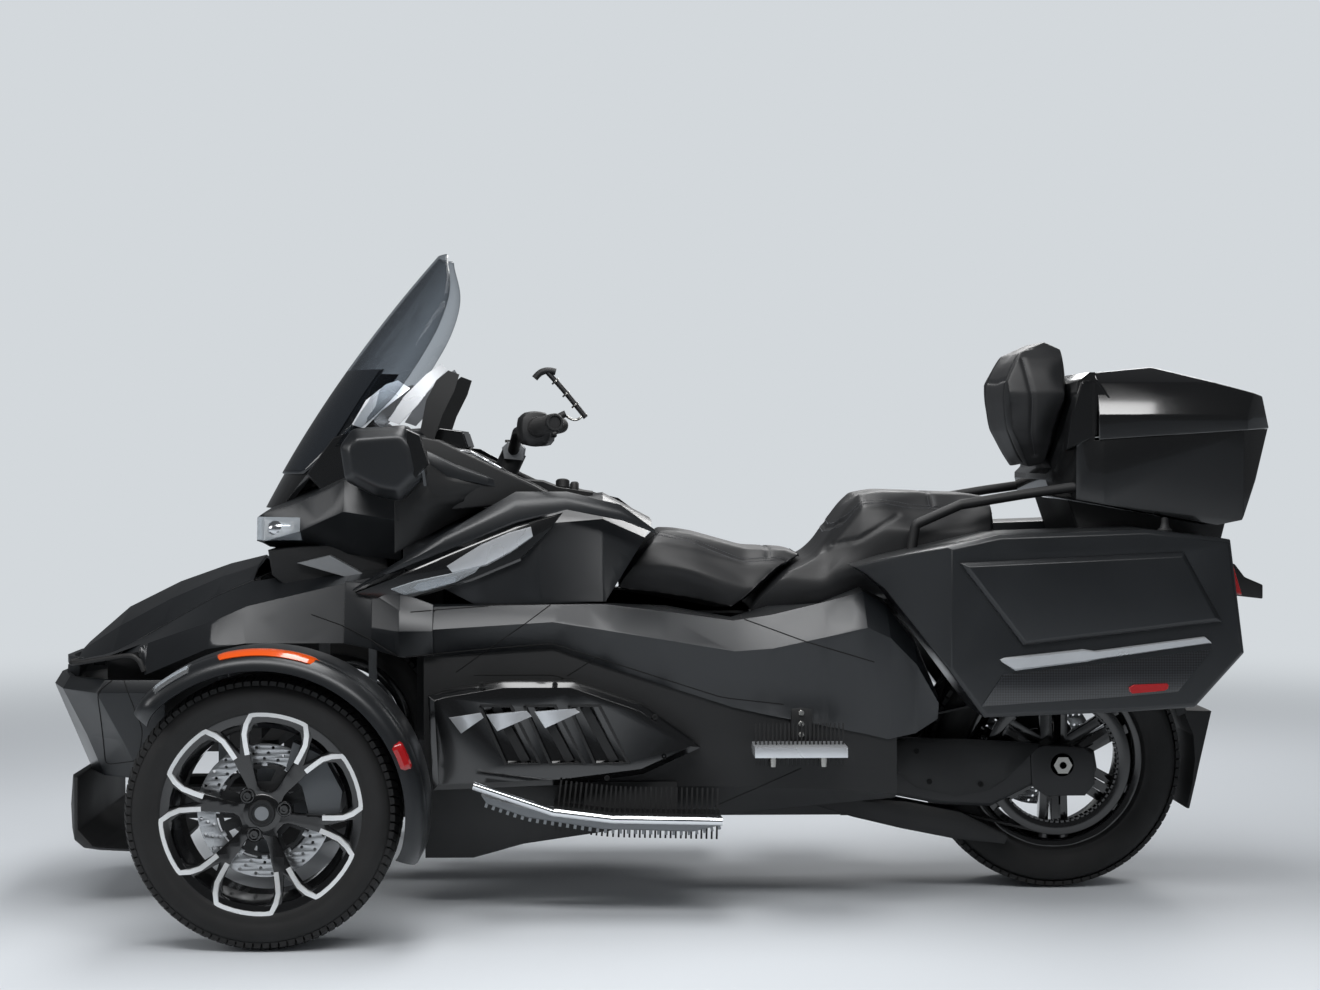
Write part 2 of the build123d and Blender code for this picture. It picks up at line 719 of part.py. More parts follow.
# Seats: closed solids, low in front and high behind, with crowned tops and draped sides
SEAT_HALF = 205.0
SEAT_TOP_HALF = 120.0
SEAT_CROWN = 26.0
SEAT_DRAPE = 84.0


def crown_envelope(top_line, half):
    """Solid under a crowned top that follows a line of (x, z) points."""
    rows = []
    for x, z in top_line:
        shoulder = [(SEAT_TOP_HALF, z), (half - 16, z - SEAT_CROWN)]
        corners = shoulder + [(half, z - SEAT_DRAPE), (half, SKIRT_TOP_Z)]
        rows.append(both_sides((x, corners)))
    return rib_loft(rows)


RIDER_SEAT_SIDE = [
    (10, 830),
    (-69, 816),
    (-184, 784),
    (-318, 784),
    (-322, 768),
    (-262, 738),
    (-152, 640),
    (-40, 662),
    (122, 690),
]
RIDER_TOP = [(130, 830), (10, 824), (-69, 810), (-184, 778), (-300, 773), (-330, 773)]
with BuildPart() as rider_seat:
    add(side_plate(RIDER_SEAT_SIDE, -SEAT_HALF, SEAT_HALF))
    add(crown_envelope(RIDER_TOP, SEAT_HALF), mode=Mode.INTERSECT)
save(rider_seat.part, "rider_seat")

PASSENGER_SEAT_BASE_Z = REAR_RAIL_TOP_Z + SOFT_FIT
PASSENGER_SEAT_SIDE = [
    (-438, 910),
    (-740, 910),
    (-740, PASSENGER_SEAT_BASE_Z),
    (-398, PASSENGER_SEAT_BASE_Z),
    (-388, 642),
    (-166, 634),
    (-268, 734),
    (-330, 764),
    (-352, 786),
]
PASSENGER_TOP = [(-150, 800), (-352, 800), (-438, 904), (-485, 909), (-669, 902), (-745, 905)]
with BuildPart() as passenger_seat:
    add(side_plate(PASSENGER_SEAT_SIDE, -SEAT_HALF, SEAT_HALF))
    add(crown_envelope(PASSENGER_TOP, SEAT_HALF), mode=Mode.INTERSECT)
save(passenger_seat.part, "passenger_seat")

# Backrest pad in front of the top case
BACKREST_REAR_X = -905.0
BACKREST_SIDE = [
    (-764, 1158),
    (-800, 1228),
    (-868, 1256),
    (BACKREST_REAR_X, 1238),
    (BACKREST_REAR_X, 1112),
    (-866, 960),
    (-822, 950),
    (-776, 1044),
]
BACKREST_OUTLINE = [(90, 1260), (150, 1215), (178, 1130), (150, 1010), (120, 940)]
with BuildPart() as backrest:
    add(side_plate(BACKREST_SIDE, -200, 200))
    add(front_prism(BACKREST_OUTLINE), mode=Mode.INTERSECT)
save(backrest.part, "backrest")

# Top case: hollow tub with its fixed front part, and the lid hinged at the lid's front edge
TOP_PARTING_X = -945.0
TOP_CASE_BACK_X = -1340.0
TOP_CASE_BOTTOM = [(TOP_CASE_BACK_X, 1048), (-1304, 934), (-1266, 847), (-1212, 836), (-860, 900)]
TOP_CASE_FRONT = [
    (-850, 934),
    (-850, 947),
    (-867, 960),
    (BACKREST_REAR_X - SOFT_FIT, 1112),
    (BACKREST_REAR_X - SOFT_FIT, 1150),
    (-930, 1172),
    (TOP_PARTING_X + 3, 1172),
    (TOP_PARTING_X + 3, 1022),
]
TOP_CASE_PLAN = [
    (-840, TOP_CASE_HALF - 110),
    (-905, TOP_CASE_HALF - 28),
    (-960, TOP_CASE_HALF),
    (-1270, TOP_CASE_HALF),
    (-1345, TOP_CASE_HALF - 68),
]
TOP_CASE_HOLLOW = [
    (TOP_PARTING_X + 3, 1100),
    (TOP_PARTING_X + 3, 912),
    (-1208, 846),
    (-1258, 856),
    (-1296, 938),
    (-1330, 1100),
]
TOP_HOLLOW_PLAN = [(-900, 250), (-960, 284), (-1268, 284), (-1340, 218)]
with BuildPart() as top_case_hollow:
    add(side_plate(TOP_CASE_HOLLOW, TOP_CASE_WALL - TOP_CASE_HALF, TOP_CASE_HALF - TOP_CASE_WALL))
    add(plan_prism(TOP_HOLLOW_PLAN), mode=Mode.INTERSECT)
with BuildPart() as top_case:
    add(side_plate(TOP_CASE_BOTTOM + TOP_CASE_FRONT, -TOP_CASE_HALF, TOP_CASE_HALF))
    add(plan_prism(TOP_CASE_PLAN), mode=Mode.INTERSECT)
    add(top_case_hollow.part, mode=Mode.SUBTRACT)
save(top_case.part, "top_case")

TOP_LID_HALF = TOP_CASE_HALF + TOP_LID_OVERHANG
TOP_LID_SIDE = [
    (TOP_PARTING_X - 3, 1172),
    (-1081, 1185),
    (-1321, 1120),
    (TOP_CASE_BACK_X - 2, 1048.7),
    (TOP_PARTING_X - 3, 1022.9),
]
TOP_LID_HOLLOW = [
    (TOP_PARTING_X + 5, 1164),
    (-1080, 1177),
    (-1314, 1114),
    (TOP_CASE_BACK_X + 6, 1000),
    (TOP_PARTING_X + 5, 1000),
]
TOP_LID_ROOF = [(210, 1190), (268, 1150), (TOP_LID_HALF, 1078), (TOP_LID_HALF, 1000)]
TOP_LID_HOLLOW_ROOF = [(207, 1181), (262, 1145), (288, 1076), (288, 990)]
TOP_LID_PLAN = [(-900, TOP_LID_HALF + 6), (-1270, TOP_LID_HALF + 6), (-1347, TOP_LID_HALF - 68)]
TOP_LID_HOLLOW_PLAN = [(-900, TOP_LID_HALF), (-1267, TOP_LID_HALF), (-1341, TOP_LID_HALF - 74)]
with BuildPart() as top_lid_hollow:
    add(side_plate(TOP_LID_HOLLOW, -TOP_LID_HALF, TOP_LID_HALF))
    add(front_prism(TOP_LID_HOLLOW_ROOF), mode=Mode.INTERSECT)
    add(plan_prism(TOP_LID_HOLLOW_PLAN), mode=Mode.INTERSECT)
with BuildPart() as top_case_lid:
    add(side_plate(TOP_LID_SIDE, -TOP_LID_HALF, TOP_LID_HALF))
    add(front_prism(TOP_LID_ROOF), mode=Mode.INTERSECT)
    add(plan_prism(TOP_LID_PLAN), mode=Mode.INTERSECT)
    add(top_lid_hollow.part, mode=Mode.SUBTRACT)
save(top_case_lid.part, "top_case_lid")

# Side cases: hollow bodies with an opening in the outer wall, and lids hinged along their lower edge
CASE_SIDE = [
    (-403, 747),
    (-429, 733),
    (-470, 700),
    (-671, 431),
    (-976, 442),
    (-1124, 452),
    (-1229, 568),
    (-1198, 811),
    (-1019, 832),
    (-702, 821),
    (-471, 768),
]
CASE_HOLLOW = [
    (-700, 720),
    (-700, 458),
    (-976, 456),
    (-1118, 466),
    (-1214, 572),
    (-1186, 798),
    (-1019, 818),
    (-702, 808),
]
CASE_MOUTH = [(-706, 754), (-775, 600), (-1158, 646), (-1088, 772)]
CASE_LID = [(-616, 762), (-752, 586), (-1177, 636), (-1095, 784)]
CASE_CHAMFER = 8.0
CASE_LID_CHAMFER = 9.0
# Plan corners that taper the case towards its front
CASE_TAPER = [(-380, 300), (-660, CASE_OUT_Y + 40), (-1300, CASE_OUT_Y + 40)]
with BuildPart() as side_cases:
    add(side_plate(CASE_SIDE, CASE_IN_Y, CASE_OUT_Y))
    chamfer(side_cases.faces().sort_by(Axis.Y)[-1].edges(), CASE_CHAMFER)
    add(plan_prism(CASE_TAPER), mode=Mode.INTERSECT)
    add(side_plate(CASE_HOLLOW, CASE_IN_Y + CASE_WALL, CASE_OUT_Y - CASE_WALL), mode=Mode.SUBTRACT)
    add(side_plate(CASE_MOUTH, CASE_OUT_Y - CASE_WALL - 2, CASE_OUT_Y + 2), mode=Mode.SUBTRACT)
    mirror(about=Plane.XZ)
save(side_cases.part, "side_cases")

with BuildPart() as side_case_lid_left:
    add(side_plate(CASE_LID, CASE_OUT_Y + FIT, CASE_OUT_Y + FIT + CASE_LID_T))
    chamfer(side_case_lid_left.faces().sort_by(Axis.Y)[-1].edges(), CASE_LID_CHAMFER)
save(side_case_lid_left.part, "side_case_lid_left")
with BuildPart() as side_case_lid_right:
    mirror(side_case_lid_left.part, about=Plane.XZ)
save(side_case_lid_right.part, "side_case_lid_right")

# Grab rails beside the passenger seat, from the side cases up to the top case
GRAB_RAIL = [(-540, 240, 760), (-552, 240, 836), (-650, 250, 880), (-790, 250, 903), (-925, 250, 922)]
with BuildPart() as grab_rails:
    add(tube(GRAB_RAIL, 11, 14))
    add(side_cases.part, mode=Mode.SUBTRACT)
    add(top_case.part, mode=Mode.SUBTRACT)
    mirror(about=Plane.XZ)
save(grab_rails.part, "grab_rails")

# Tail bracket: crossbar with the lamps, and the plate holder behind it
TAIL_BAR_X = -1180.0
TAIL_BAR_HALF = CASE_IN_Y - 1
PLATE_SIDE = [
    (TAIL_BAR_X - 20, 760),
    (-1305, 740),
    (-1328, 710),
    (TAIL_X, 692),
    (TAIL_X, 660),
    (-1300, 668),
    (TAIL_BAR_X - 20, 690),
]
with BuildPart() as tail_bracket:
    add(slab(TAIL_BAR_X - 20, TAIL_BAR_X, -TAIL_BAR_HALF, TAIL_BAR_HALF, 600, 780))
    add(side_plate(PLATE_SIDE, -95, 95))
save(tail_bracket.part, "tail_bracket")

# Rear mudguard: a curved shell over the wheel with a tapered flap behind it, hung from the rear rails
GUARD_GAP = 20.0
GUARD_IN_R = REAR_TYRE_R + GUARD_GAP
GUARD_T = 6.0
GUARD_HALF = 125.0
GUARD_FRONT_DEG = 84.0
GUARD_ARC_DEG = 76.0
GUARD_HANGER_BOTTOM_Z = REAR_TYRE_R + GUARD_IN_R + 2
FLAP_POLAR = [
    # degrees from straight ahead, distance outside the tyre
    (159, 20),
    (162.7, 80),
    (180, 38),
    (189.6, 31),
    (199.9, 33),
    (200.2, 27),
    (189.8, 24.6),
    (180, 26),
    (169.9, 27),
]
FLAP_HALF = 112.0


def wheel_arc_plane(axle_x, axle_z, degrees):
    """Plane that holds the Y axis and the radius at an angle from straight ahead."""
    c = cos(radians(degrees))
    s = sin(radians(degrees))
    return Plane(origin=(axle_x, 0, axle_z), x_dir=(0, 1, 0), z_dir=(s, 0, -c))


GUARD_SECTION = [
    (GUARD_HALF, GUARD_IN_R - GUARD_GAP),
    (GUARD_HALF, GUARD_IN_R),
    (GUARD_HALF - 15, GUARD_IN_R + GUARD_T),
]
GUARD_SECTION_INSIDE = [
    (GUARD_HALF - 18, GUARD_IN_R),
    (GUARD_HALF - 5, GUARD_IN_R - 3),
    (GUARD_HALF - 5, GUARD_IN_R - GUARD_GAP),
]
guard_left = GUARD_SECTION + [(-y, r) for y, r in reversed(GUARD_SECTION)]
guard_outline = guard_left + [(-y, r) for y, r in reversed(GUARD_SECTION_INSIDE)] + GUARD_SECTION_INSIDE
flap_side = [
    (
        REAR_AXLE_X + (REAR_TYRE_R + gap) * cos(radians(degrees)),
        REAR_TYRE_R + (REAR_TYRE_R + gap) * sin(radians(degrees)),
    )
    for degrees, gap in FLAP_POLAR
]
with BuildPart() as rear_mudguard:
    with BuildSketch(wheel_arc_plane(REAR_AXLE_X, REAR_TYRE_R, GUARD_FRONT_DEG)):
        with BuildLine():
            Polyline(*guard_outline, close=True)
        make_face()
    revolve(axis=Axis((REAR_AXLE_X, 0, REAR_TYRE_R), (0, -1, 0)), revolution_arc=GUARD_ARC_DEG)
    add(side_plate(flap_side, -FLAP_HALF, FLAP_HALF))
    add(slab(REAR_AXLE_X - 30, REAR_AXLE_X + 30, -95, 95, GUARD_HANGER_BOTTOM_Z, REAR_RAIL_BOTTOM_Z))
save(rear_mudguard.part, "rear_mudguard")

# Swing arm, with the axle through its ends
AXLE_R = 14.0
AXLE_BORE_R = 8.0
ARM_IN_Y = 136.0
ARM_OUT_Y = 184.0
ARM_PIVOT_X = -481.0
ARM_BRIDGE_X = REAR_AXLE_X + REAR_TYRE_R + 37
ARM_SIDE = [
    (ARM_PIVOT_X, 356),
    (REAR_AXLE_X - 74, 325),
    (REAR_AXLE_X - 81, 285),
    (REAR_AXLE_X - 63, 245),
    (REAR_AXLE_X + 71, 245),
    (REAR_AXLE_X + 160, 200),
    (REAR_AXLE_X + 272, 205),
    (ARM_PIVOT_X, 232),
]
with BuildPart() as swing_arm:
    add(side_plate(ARM_SIDE, ARM_IN_Y, ARM_OUT_Y))
    chamfer(swing_arm.faces().sort_by(Axis.Y)[-1].edges(), 8)
    mirror(about=Plane.XZ)
    add(slab(ARM_BRIDGE_X, ARM_PIVOT_X + 1, -ARM_IN_Y, ARM_IN_Y, 258, 330))
    with BuildSketch(Plane.XZ.offset(300)):
        with Locations((REAR_AXLE_X, REAR_TYRE_R)):
            Circle(AXLE_R + FIT / 2)
    extrude(amount=-600, mode=Mode.SUBTRACT)
save(swing_arm.part, "swing_arm")

with BuildPart() as rear_axle:
    with BuildSketch(Plane.XZ.offset(-198)):
        with Locations((REAR_AXLE_X, REAR_TYRE_R)):
            Circle(AXLE_R)
    extrude(amount=396)
    for y, away in ((ARM_OUT_Y + FIT, -14), (-ARM_OUT_Y - FIT, 14)):
        with BuildSketch(Plane.XZ.offset(-y)):
            with Locations((REAR_AXLE_X, REAR_TYRE_R)):
                RegularPolygon(21, 6)
        extrude(amount=away)
    with BuildSketch(Plane.XZ.offset(-200)):
        with Locations((REAR_AXLE_X, REAR_TYRE_R)):
            Circle(AXLE_BORE_R)
    extrude(amount=400, mode=Mode.SUBTRACT)
save(rear_axle.part, "rear_axle")

# Rear wheel, tyre and brake disc
REAR_RIM_HALF = REAR_RIM_WIDTH / 2
SPROCKET_R = 162.0
SPROCKET_BAND = 22.0
REAR_HUB_R = 44.0
REAR_HUB_HALF = 131.0
rear_rim = wheel_rim(REAR_RIM_HALF, REAR_RIM_HALF + 1, 30, REAR_SPOKE_TURN, [REAR_SPOKE_LOW, REAR_SPOKE_HIGH])
with BuildPart() as rear_wheel:
    with Locations((REAR_AXLE_X, 0, REAR_TYRE_R)):
        add(rear_rim)
    with BuildSketch(Plane.XZ.offset(-(BELT_IN_Y + BELT_WIDTH))):
        with Locations((REAR_AXLE_X, REAR_TYRE_R)):
            Circle(SPROCKET_R)
            Circle(SPROCKET_R - SPROCKET_BAND, mode=Mode.SUBTRACT)
    extrude(amount=BELT_WIDTH + 6)
    with BuildSketch(Plane.XZ.offset(-(BELT_IN_Y + 4))):
        with Locations((REAR_AXLE_X, REAR_TYRE_R)):
            with PolarLocations(0, SPOKES, REAR_SPOKE_TURN):
                with Locations((86, 0)):
                    Rectangle(140, 20)
    extrude(amount=34)
    with BuildSketch(Plane.XZ.offset(-REAR_HUB_HALF)):
        with Locations((REAR_AXLE_X, REAR_TYRE_R)):
            Circle(REAR_HUB_R)
    extrude(amount=2 * REAR_HUB_HALF)
    with BuildSketch(Plane.XZ.offset(-140)):
        with Locations((REAR_AXLE_X, REAR_TYRE_R)):
            Circle(AXLE_R + FIT)
    extrude(amount=280, mode=Mode.SUBTRACT)
save(rear_wheel.part, "rear_wheel")

rear_tread = tyre(REAR_TYRE_R, REAR_TYRE_WIDTH, REAR_RIM_HALF)
with BuildPart() as rear_tyre:
    with Locations((REAR_AXLE_X, 0, REAR_TYRE_R)):
        add(rear_tread)
save(rear_tyre.part, "rear_tyre")

with BuildPart() as rear_disc:
    with BuildSketch(Plane.XZ.offset(118)):
        with Locations((REAR_AXLE_X, REAR_TYRE_R)):
            Circle(DISC_R)
            Circle(REAR_HUB_R + FIT, mode=Mode.SUBTRACT)
    extrude(amount=DISC_T)
save(rear_disc.part, "rear_disc")

# Drive belt: fixed loop round the front pulley and the rear sprocket ring
BELT_T = 5.0
with BuildPart() as drive_belt:
    with BuildSketch(Plane.XZ.offset(-(BELT_IN_Y + BELT_WIDTH))):
        with Locations((REAR_AXLE_X, REAR_TYRE_R)):
            Circle(SPROCKET_R + FIT + BELT_T)
        with Locations((PULLEY_X, PULLEY_Z)):
            Circle(PULLEY_R + FIT + BELT_T)
        make_hull()
        offset(amount=-BELT_T, mode=Mode.SUBTRACT)
    extrude(amount=BELT_WIDTH)
save(drive_belt.part, "drive_belt")

# Exhaust on the right, low beside the rear wheel
EXHAUST_Y = -262.0
EXHAUST_Z = 262.0
PIPE_Y = -165.0
PIPE_R = 22.0
PIPE_BEND = 60.0
PIPE_PATH = [
    (-80.4, PIPE_Y, EXHAUST_Z),
    (-300, PIPE_Y, EXHAUST_Z),
    (-420, EXHAUST_Y, EXHAUST_Z),
    (-560, EXHAUST_Y, EXHAUST_Z),
]
SILENCER_X = -550.0
SILENCER_R = 58.0
SILENCER_LENGTH = 480.0
with BuildPart() as exhaust:
    add(tube(PIPE_PATH, PIPE_R, PIPE_BEND))
    with BuildSketch(Plane.YZ.offset(SILENCER_X)):
        with Locations((EXHAUST_Y, EXHAUST_Z)):
            Circle(SILENCER_R)
    extrude(amount=-SILENCER_LENGTH)
save(exhaust.part, "exhaust")

# Front suspension: lower and upper arms from the frame to the knuckle's ball joints
ARM_T = 18.0
ARM_LOW_Z = KINGPIN_LOW_Z - ARM_T - FIT
ARM_HIGH_Z = KINGPIN_HIGH_Z + FIT
with BuildPart() as wishbones:
    for z, spread in ((ARM_LOW_Z, 150), (ARM_HIGH_Z, 37)):
        with BuildSketch(Plane.XY.offset(z)):
            with BuildLine():
                Polyline(
                    (FRONT_AXLE_X - 16, KINGPIN_Y),
                    (FRONT_AXLE_X - 20, KINGPIN_Y - 130),
                    (FRONT_AXLE_X - spread, RAIL_HALF),
                    (FRONT_AXLE_X + spread, RAIL_HALF),
                    (FRONT_AXLE_X + 20, KINGPIN_Y - 130),
                    (FRONT_AXLE_X + 16, KINGPIN_Y),
                    close=True,
                )
            make_face()
            with Locations((FRONT_AXLE_X, KINGPIN_Y)):
                Circle(20)
        extrude(amount=ARM_T)
    with BuildSketch(Plane.XY.offset(ARM_LOW_Z + ARM_T)):
        with Locations((FRONT_AXLE_X, RAIL_HALF + 20)):
            Rectangle(260, 39.9)
    extrude(amount=22)
    mirror(about=Plane.XZ)
save(wishbones.part, "wishbones")

# Knuckles: upright, stub axle and the stays that carry the fender
STAY_X = 100.0
FENDER_IN_R = FRONT_TYRE_R + 40.0
FENDER_T = 7.0
STAY_TOP_Z = FRONT_TYRE_R + sqrt(FENDER_IN_R**2 - (STAY_X + 10) ** 2) - FIT
with BuildPart() as knuckle_left:
    with Locations((FRONT_AXLE_X, KINGPIN_Y + 2, (KINGPIN_LOW_Z + KINGPIN_HIGH_Z) / 2)):
        Box(44, 44, KINGPIN_HIGH_Z - KINGPIN_LOW_Z)
    add(slab(FRONT_AXLE_X - 110, FRONT_AXLE_X + 110, KNUCKLE_IN_Y, KINGPIN_Y, FRONT_TYRE_R - 18, FRONT_TYRE_R + 18))
    for x in (FRONT_AXLE_X - STAY_X, FRONT_AXLE_X + STAY_X):
        add(slab(x - 10, x + 10, KNUCKLE_IN_Y, KNUCKLE_IN_Y + 16, FRONT_TYRE_R - 18, STAY_TOP_Z))
    with BuildSketch(Plane.XZ.offset(-(KINGPIN_Y + 20))):
        with Locations((FRONT_AXLE_X, FRONT_TYRE_R)):
            Circle(32)
    extrude(amount=-36)
    with BuildSketch(Plane.XZ.offset(-(KINGPIN_Y + 20))):
        with Locations((FRONT_AXLE_X, FRONT_TYRE_R)):
            Circle(STUB_R)
    extrude(amount=-96)
save(knuckle_left.part, "knuckle_left")
with BuildPart() as knuckle_right:
    mirror(knuckle_left.part, about=Plane.XZ)
save(knuckle_right.part, "knuckle_right")

# Brake calipers behind the front hubs
CALIPER_OUTLINE = [(-92, -10), (-150, -20), (-158, 40), (-120, 112), (-60, 140), (-45, 84), (-78, 50)]
CALIPER_IN_Y = FRONT_TRACK_HALF - 6.0
BRACKET_IN_Y = KNUCKLE_IN_Y + 2.0
CALIPER_WIDTH = 44.0
with BuildPart() as caliper_left:
    with BuildSketch(Plane.XZ.offset(-CALIPER_IN_Y)):
        with Locations((FRONT_AXLE_X, FRONT_TYRE_R)):
            Polygon(*CALIPER_OUTLINE, align=None)
    extrude(amount=-CALIPER_WIDTH)
    with BuildSketch(Plane.XZ.offset(-(DISC_Y - DISC_T / 2 - 2))):
        with Locations((FRONT_AXLE_X, FRONT_TYRE_R)):
            Circle(DISC_R + 3)
    extrude(amount=-(DISC_T + 4), mode=Mode.SUBTRACT)
    add(slab(FRONT_AXLE_X - 150, FRONT_AXLE_X - 120, BRACKET_IN_Y, CALIPER_IN_Y, FRONT_TYRE_R - 10, FRONT_TYRE_R + 18))
    with Locations((FRONT_AXLE_X - 130 - FIT / 2, BRACKET_IN_Y + 9, FRONT_TYRE_R + 4)):
        Box(40 - FIT, 18, 28)
save(caliper_left.part, "caliper_left")
with BuildPart() as caliper_right:
    mirror(caliper_left.part, about=Plane.XZ)
save(caliper_right.part, "caliper_right")

# Front fenders turn with the wheels
FENDER_IN_Y = KNUCKLE_IN_Y - 1.0
FENDER_FRONT_DEG = 38.0
FENDER_ARC_DEG = 162.0
FENDER_SECTION = [
    (FENDER_IN_Y, FENDER_IN_R),
    (FENDER_IN_Y, FENDER_IN_R + FENDER_T),
    (FENDER_IN_Y + 95, FENDER_IN_R + FENDER_T + 9),
    (OVERALL_HALF_WIDTH - 57, FENDER_IN_R + FENDER_T + 8),
    (OVERALL_HALF_WIDTH - 8, FENDER_IN_R),
    (OVERALL_HALF_WIDTH, FENDER_IN_R - 26),
    (OVERALL_HALF_WIDTH - 6, FENDER_IN_R - 26),
    (OVERALL_HALF_WIDTH - 14, FENDER_IN_R - 4),
    (OVERALL_HALF_WIDTH - 59, FENDER_IN_R + 6),
    (FENDER_IN_Y + 95, FENDER_IN_R + 8),
    (FENDER_IN_Y + 15, FENDER_IN_R),
]
with BuildPart() as fender_left:
    with BuildSketch(wheel_arc_plane(FRONT_AXLE_X, FRONT_TYRE_R, FENDER_FRONT_DEG)):
        with BuildLine():
            Polyline(*FENDER_SECTION, close=True)
        make_face()
    revolve(axis=Axis((FRONT_AXLE_X, 0, FRONT_TYRE_R), (0, -1, 0)), revolution_arc=FENDER_ARC_DEG)
save(fender_left.part, "fender_left")
with BuildPart() as fender_right:
    mirror(fender_left.part, about=Plane.XZ)
save(fender_right.part, "fender_right")

# Front wheels, tyres and discs
FRONT_RIM_HALF = FRONT_RIM_WIDTH / 2
front_rim = wheel_rim(FRONT_RIM_HALF, FRONT_RIM_HALF + 4, 22, FRONT_SPOKE_TURN, [FRONT_SPOKE])
with BuildPart() as front_wheel_left:
    with Locations((FRONT_AXLE_X, FRONT_TRACK_HALF, FRONT_TYRE_R)):
        add(front_rim)
    with BuildSketch(Plane.XZ.offset(-HUB_FACE_Y)):
        with Locations((FRONT_AXLE_X, FRONT_TYRE_R)):
            Circle(HUB_R)
    extrude(amount=-30)
    with BuildSketch(Plane.XZ.offset(-HUB_FACE_Y + 1)):
        with Locations((FRONT_AXLE_X, FRONT_TYRE_R)):
            Circle(STUB_R + FIT)
    extrude(amount=-29, mode=Mode.SUBTRACT)
save(front_wheel_left.part, "front_wheel_left")
with BuildPart() as front_wheel_right:
    mirror(front_wheel_left.part, about=Plane.XZ)
save(front_wheel_right.part, "front_wheel_right")

front_tread = tyre(FRONT_TYRE_R, FRONT_TYRE_WIDTH, FRONT_RIM_HALF)
with BuildPart() as front_tyre_left:
    with Locations((FRONT_AXLE_X, FRONT_TRACK_HALF, FRONT_TYRE_R)):
        add(front_tread)
save(front_tyre_left.part, "front_tyre_left")
with BuildPart() as front_tyre_right:
    mirror(front_tyre_left.part, about=Plane.XZ)
save(front_tyre_right.part, "front_tyre_right")

with BuildPart() as front_disc_left:
    with BuildSketch(Plane.XZ.offset(-(DISC_Y - DISC_T / 2))):
        with Locations((FRONT_AXLE_X, FRONT_TYRE_R)):
            Circle(DISC_R)
            Circle(DISC_HOLE_R, mode=Mode.SUBTRACT)
    extrude(amount=-DISC_T)
    with BuildSketch(Plane.XZ.offset(-(DISC_Y + DISC_T / 2))):
        with Locations((FRONT_AXLE_X, FRONT_TYRE_R)):
            Circle(DISC_HOLE_R + 12)
            Circle(DISC_HOLE_R, mode=Mode.SUBTRACT)
    extrude(amount=-(HUB_FACE_Y - DISC_Y - DISC_T / 2))
save(front_disc_left.part, "front_disc_left")
with BuildPart() as front_disc_right:
    mirror(front_disc_left.part, about=Plane.XZ)
save(front_disc_right.part, "front_disc_right")

# Handlebar: column pin, riser and bar, with a grip on each end
BAR_R = 13.0
GRIP_R = 18.0
BAR_PATH = [
    (283, -290, 1051),
    (330, -140, 1040),
    (345, -30, 998),
    (345, 30, 998),
    (330, 140, 1040),
    (283, 290, 1051),
]
with BuildPart() as handlebar:
    with BuildSketch(COLUMN_TOP.offset(-270)):
        Circle(COLUMN_R)
    extrude(amount=290)
    with BuildSketch(COLUMN_TOP.offset(-100)):
        Circle(28)
    extrude(amount=120)
    add(tube(BAR_PATH, BAR_R, 20))
save(handlebar.part, "handlebar")

with BuildPart() as grips:
    with BuildSketch(Plane(origin=(282.8, 290.5, 1051.1), z_dir=(-47, 150, 11))):
        Circle(GRIP_R)
    extrude(amount=130)
    mirror(about=Plane.XZ)
save(grips.part, "grips")
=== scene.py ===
import json
from contextlib import contextmanager
from math import cos, exp, hypot, pi, radians, sin

import bmesh
import bpy
from mathutils import Matrix, Vector
from mathutils.bvhtree import BVHTree
from mathutils.kdtree import KDTree

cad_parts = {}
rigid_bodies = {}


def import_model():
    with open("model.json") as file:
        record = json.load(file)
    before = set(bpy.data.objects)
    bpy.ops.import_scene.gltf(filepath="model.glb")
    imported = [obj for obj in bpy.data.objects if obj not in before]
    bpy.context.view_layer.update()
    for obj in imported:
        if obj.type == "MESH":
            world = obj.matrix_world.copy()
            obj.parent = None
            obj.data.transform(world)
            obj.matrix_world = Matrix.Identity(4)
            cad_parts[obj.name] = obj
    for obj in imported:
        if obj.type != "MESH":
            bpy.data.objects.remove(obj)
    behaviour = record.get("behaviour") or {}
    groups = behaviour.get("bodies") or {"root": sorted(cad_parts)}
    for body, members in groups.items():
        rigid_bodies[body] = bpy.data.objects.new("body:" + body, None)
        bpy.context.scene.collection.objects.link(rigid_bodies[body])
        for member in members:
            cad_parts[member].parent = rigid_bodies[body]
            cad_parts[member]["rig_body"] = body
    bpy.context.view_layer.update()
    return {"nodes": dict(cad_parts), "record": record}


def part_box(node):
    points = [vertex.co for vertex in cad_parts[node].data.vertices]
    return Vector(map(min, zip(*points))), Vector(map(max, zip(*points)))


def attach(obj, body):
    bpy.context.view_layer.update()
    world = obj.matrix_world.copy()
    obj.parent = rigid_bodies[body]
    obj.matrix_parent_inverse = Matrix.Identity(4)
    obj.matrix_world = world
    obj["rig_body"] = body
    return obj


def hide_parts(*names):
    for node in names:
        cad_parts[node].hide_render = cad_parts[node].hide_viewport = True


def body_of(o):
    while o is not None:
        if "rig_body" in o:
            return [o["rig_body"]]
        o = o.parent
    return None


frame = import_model()
nodes = frame["nodes"]

# Studio: a photographer's cove with a pale floor, lit by a long softbox overhead, one on the camera's side,
# one in front and a strip behind. The camera stands 5.3 m to the left of the trike and 1 m above the floor.


def linear(hex_colour):
    """sRGB hex to linear red, green, blue and alpha."""
    channels = [int(hex_colour[i : i + 2], 16) / 255 for i in (1, 3, 5)]
    return [c / 12.92 if c <= 0.04045 else ((c + 0.055) / 1.055) ** 2.4 for c in channels] + [1.0]


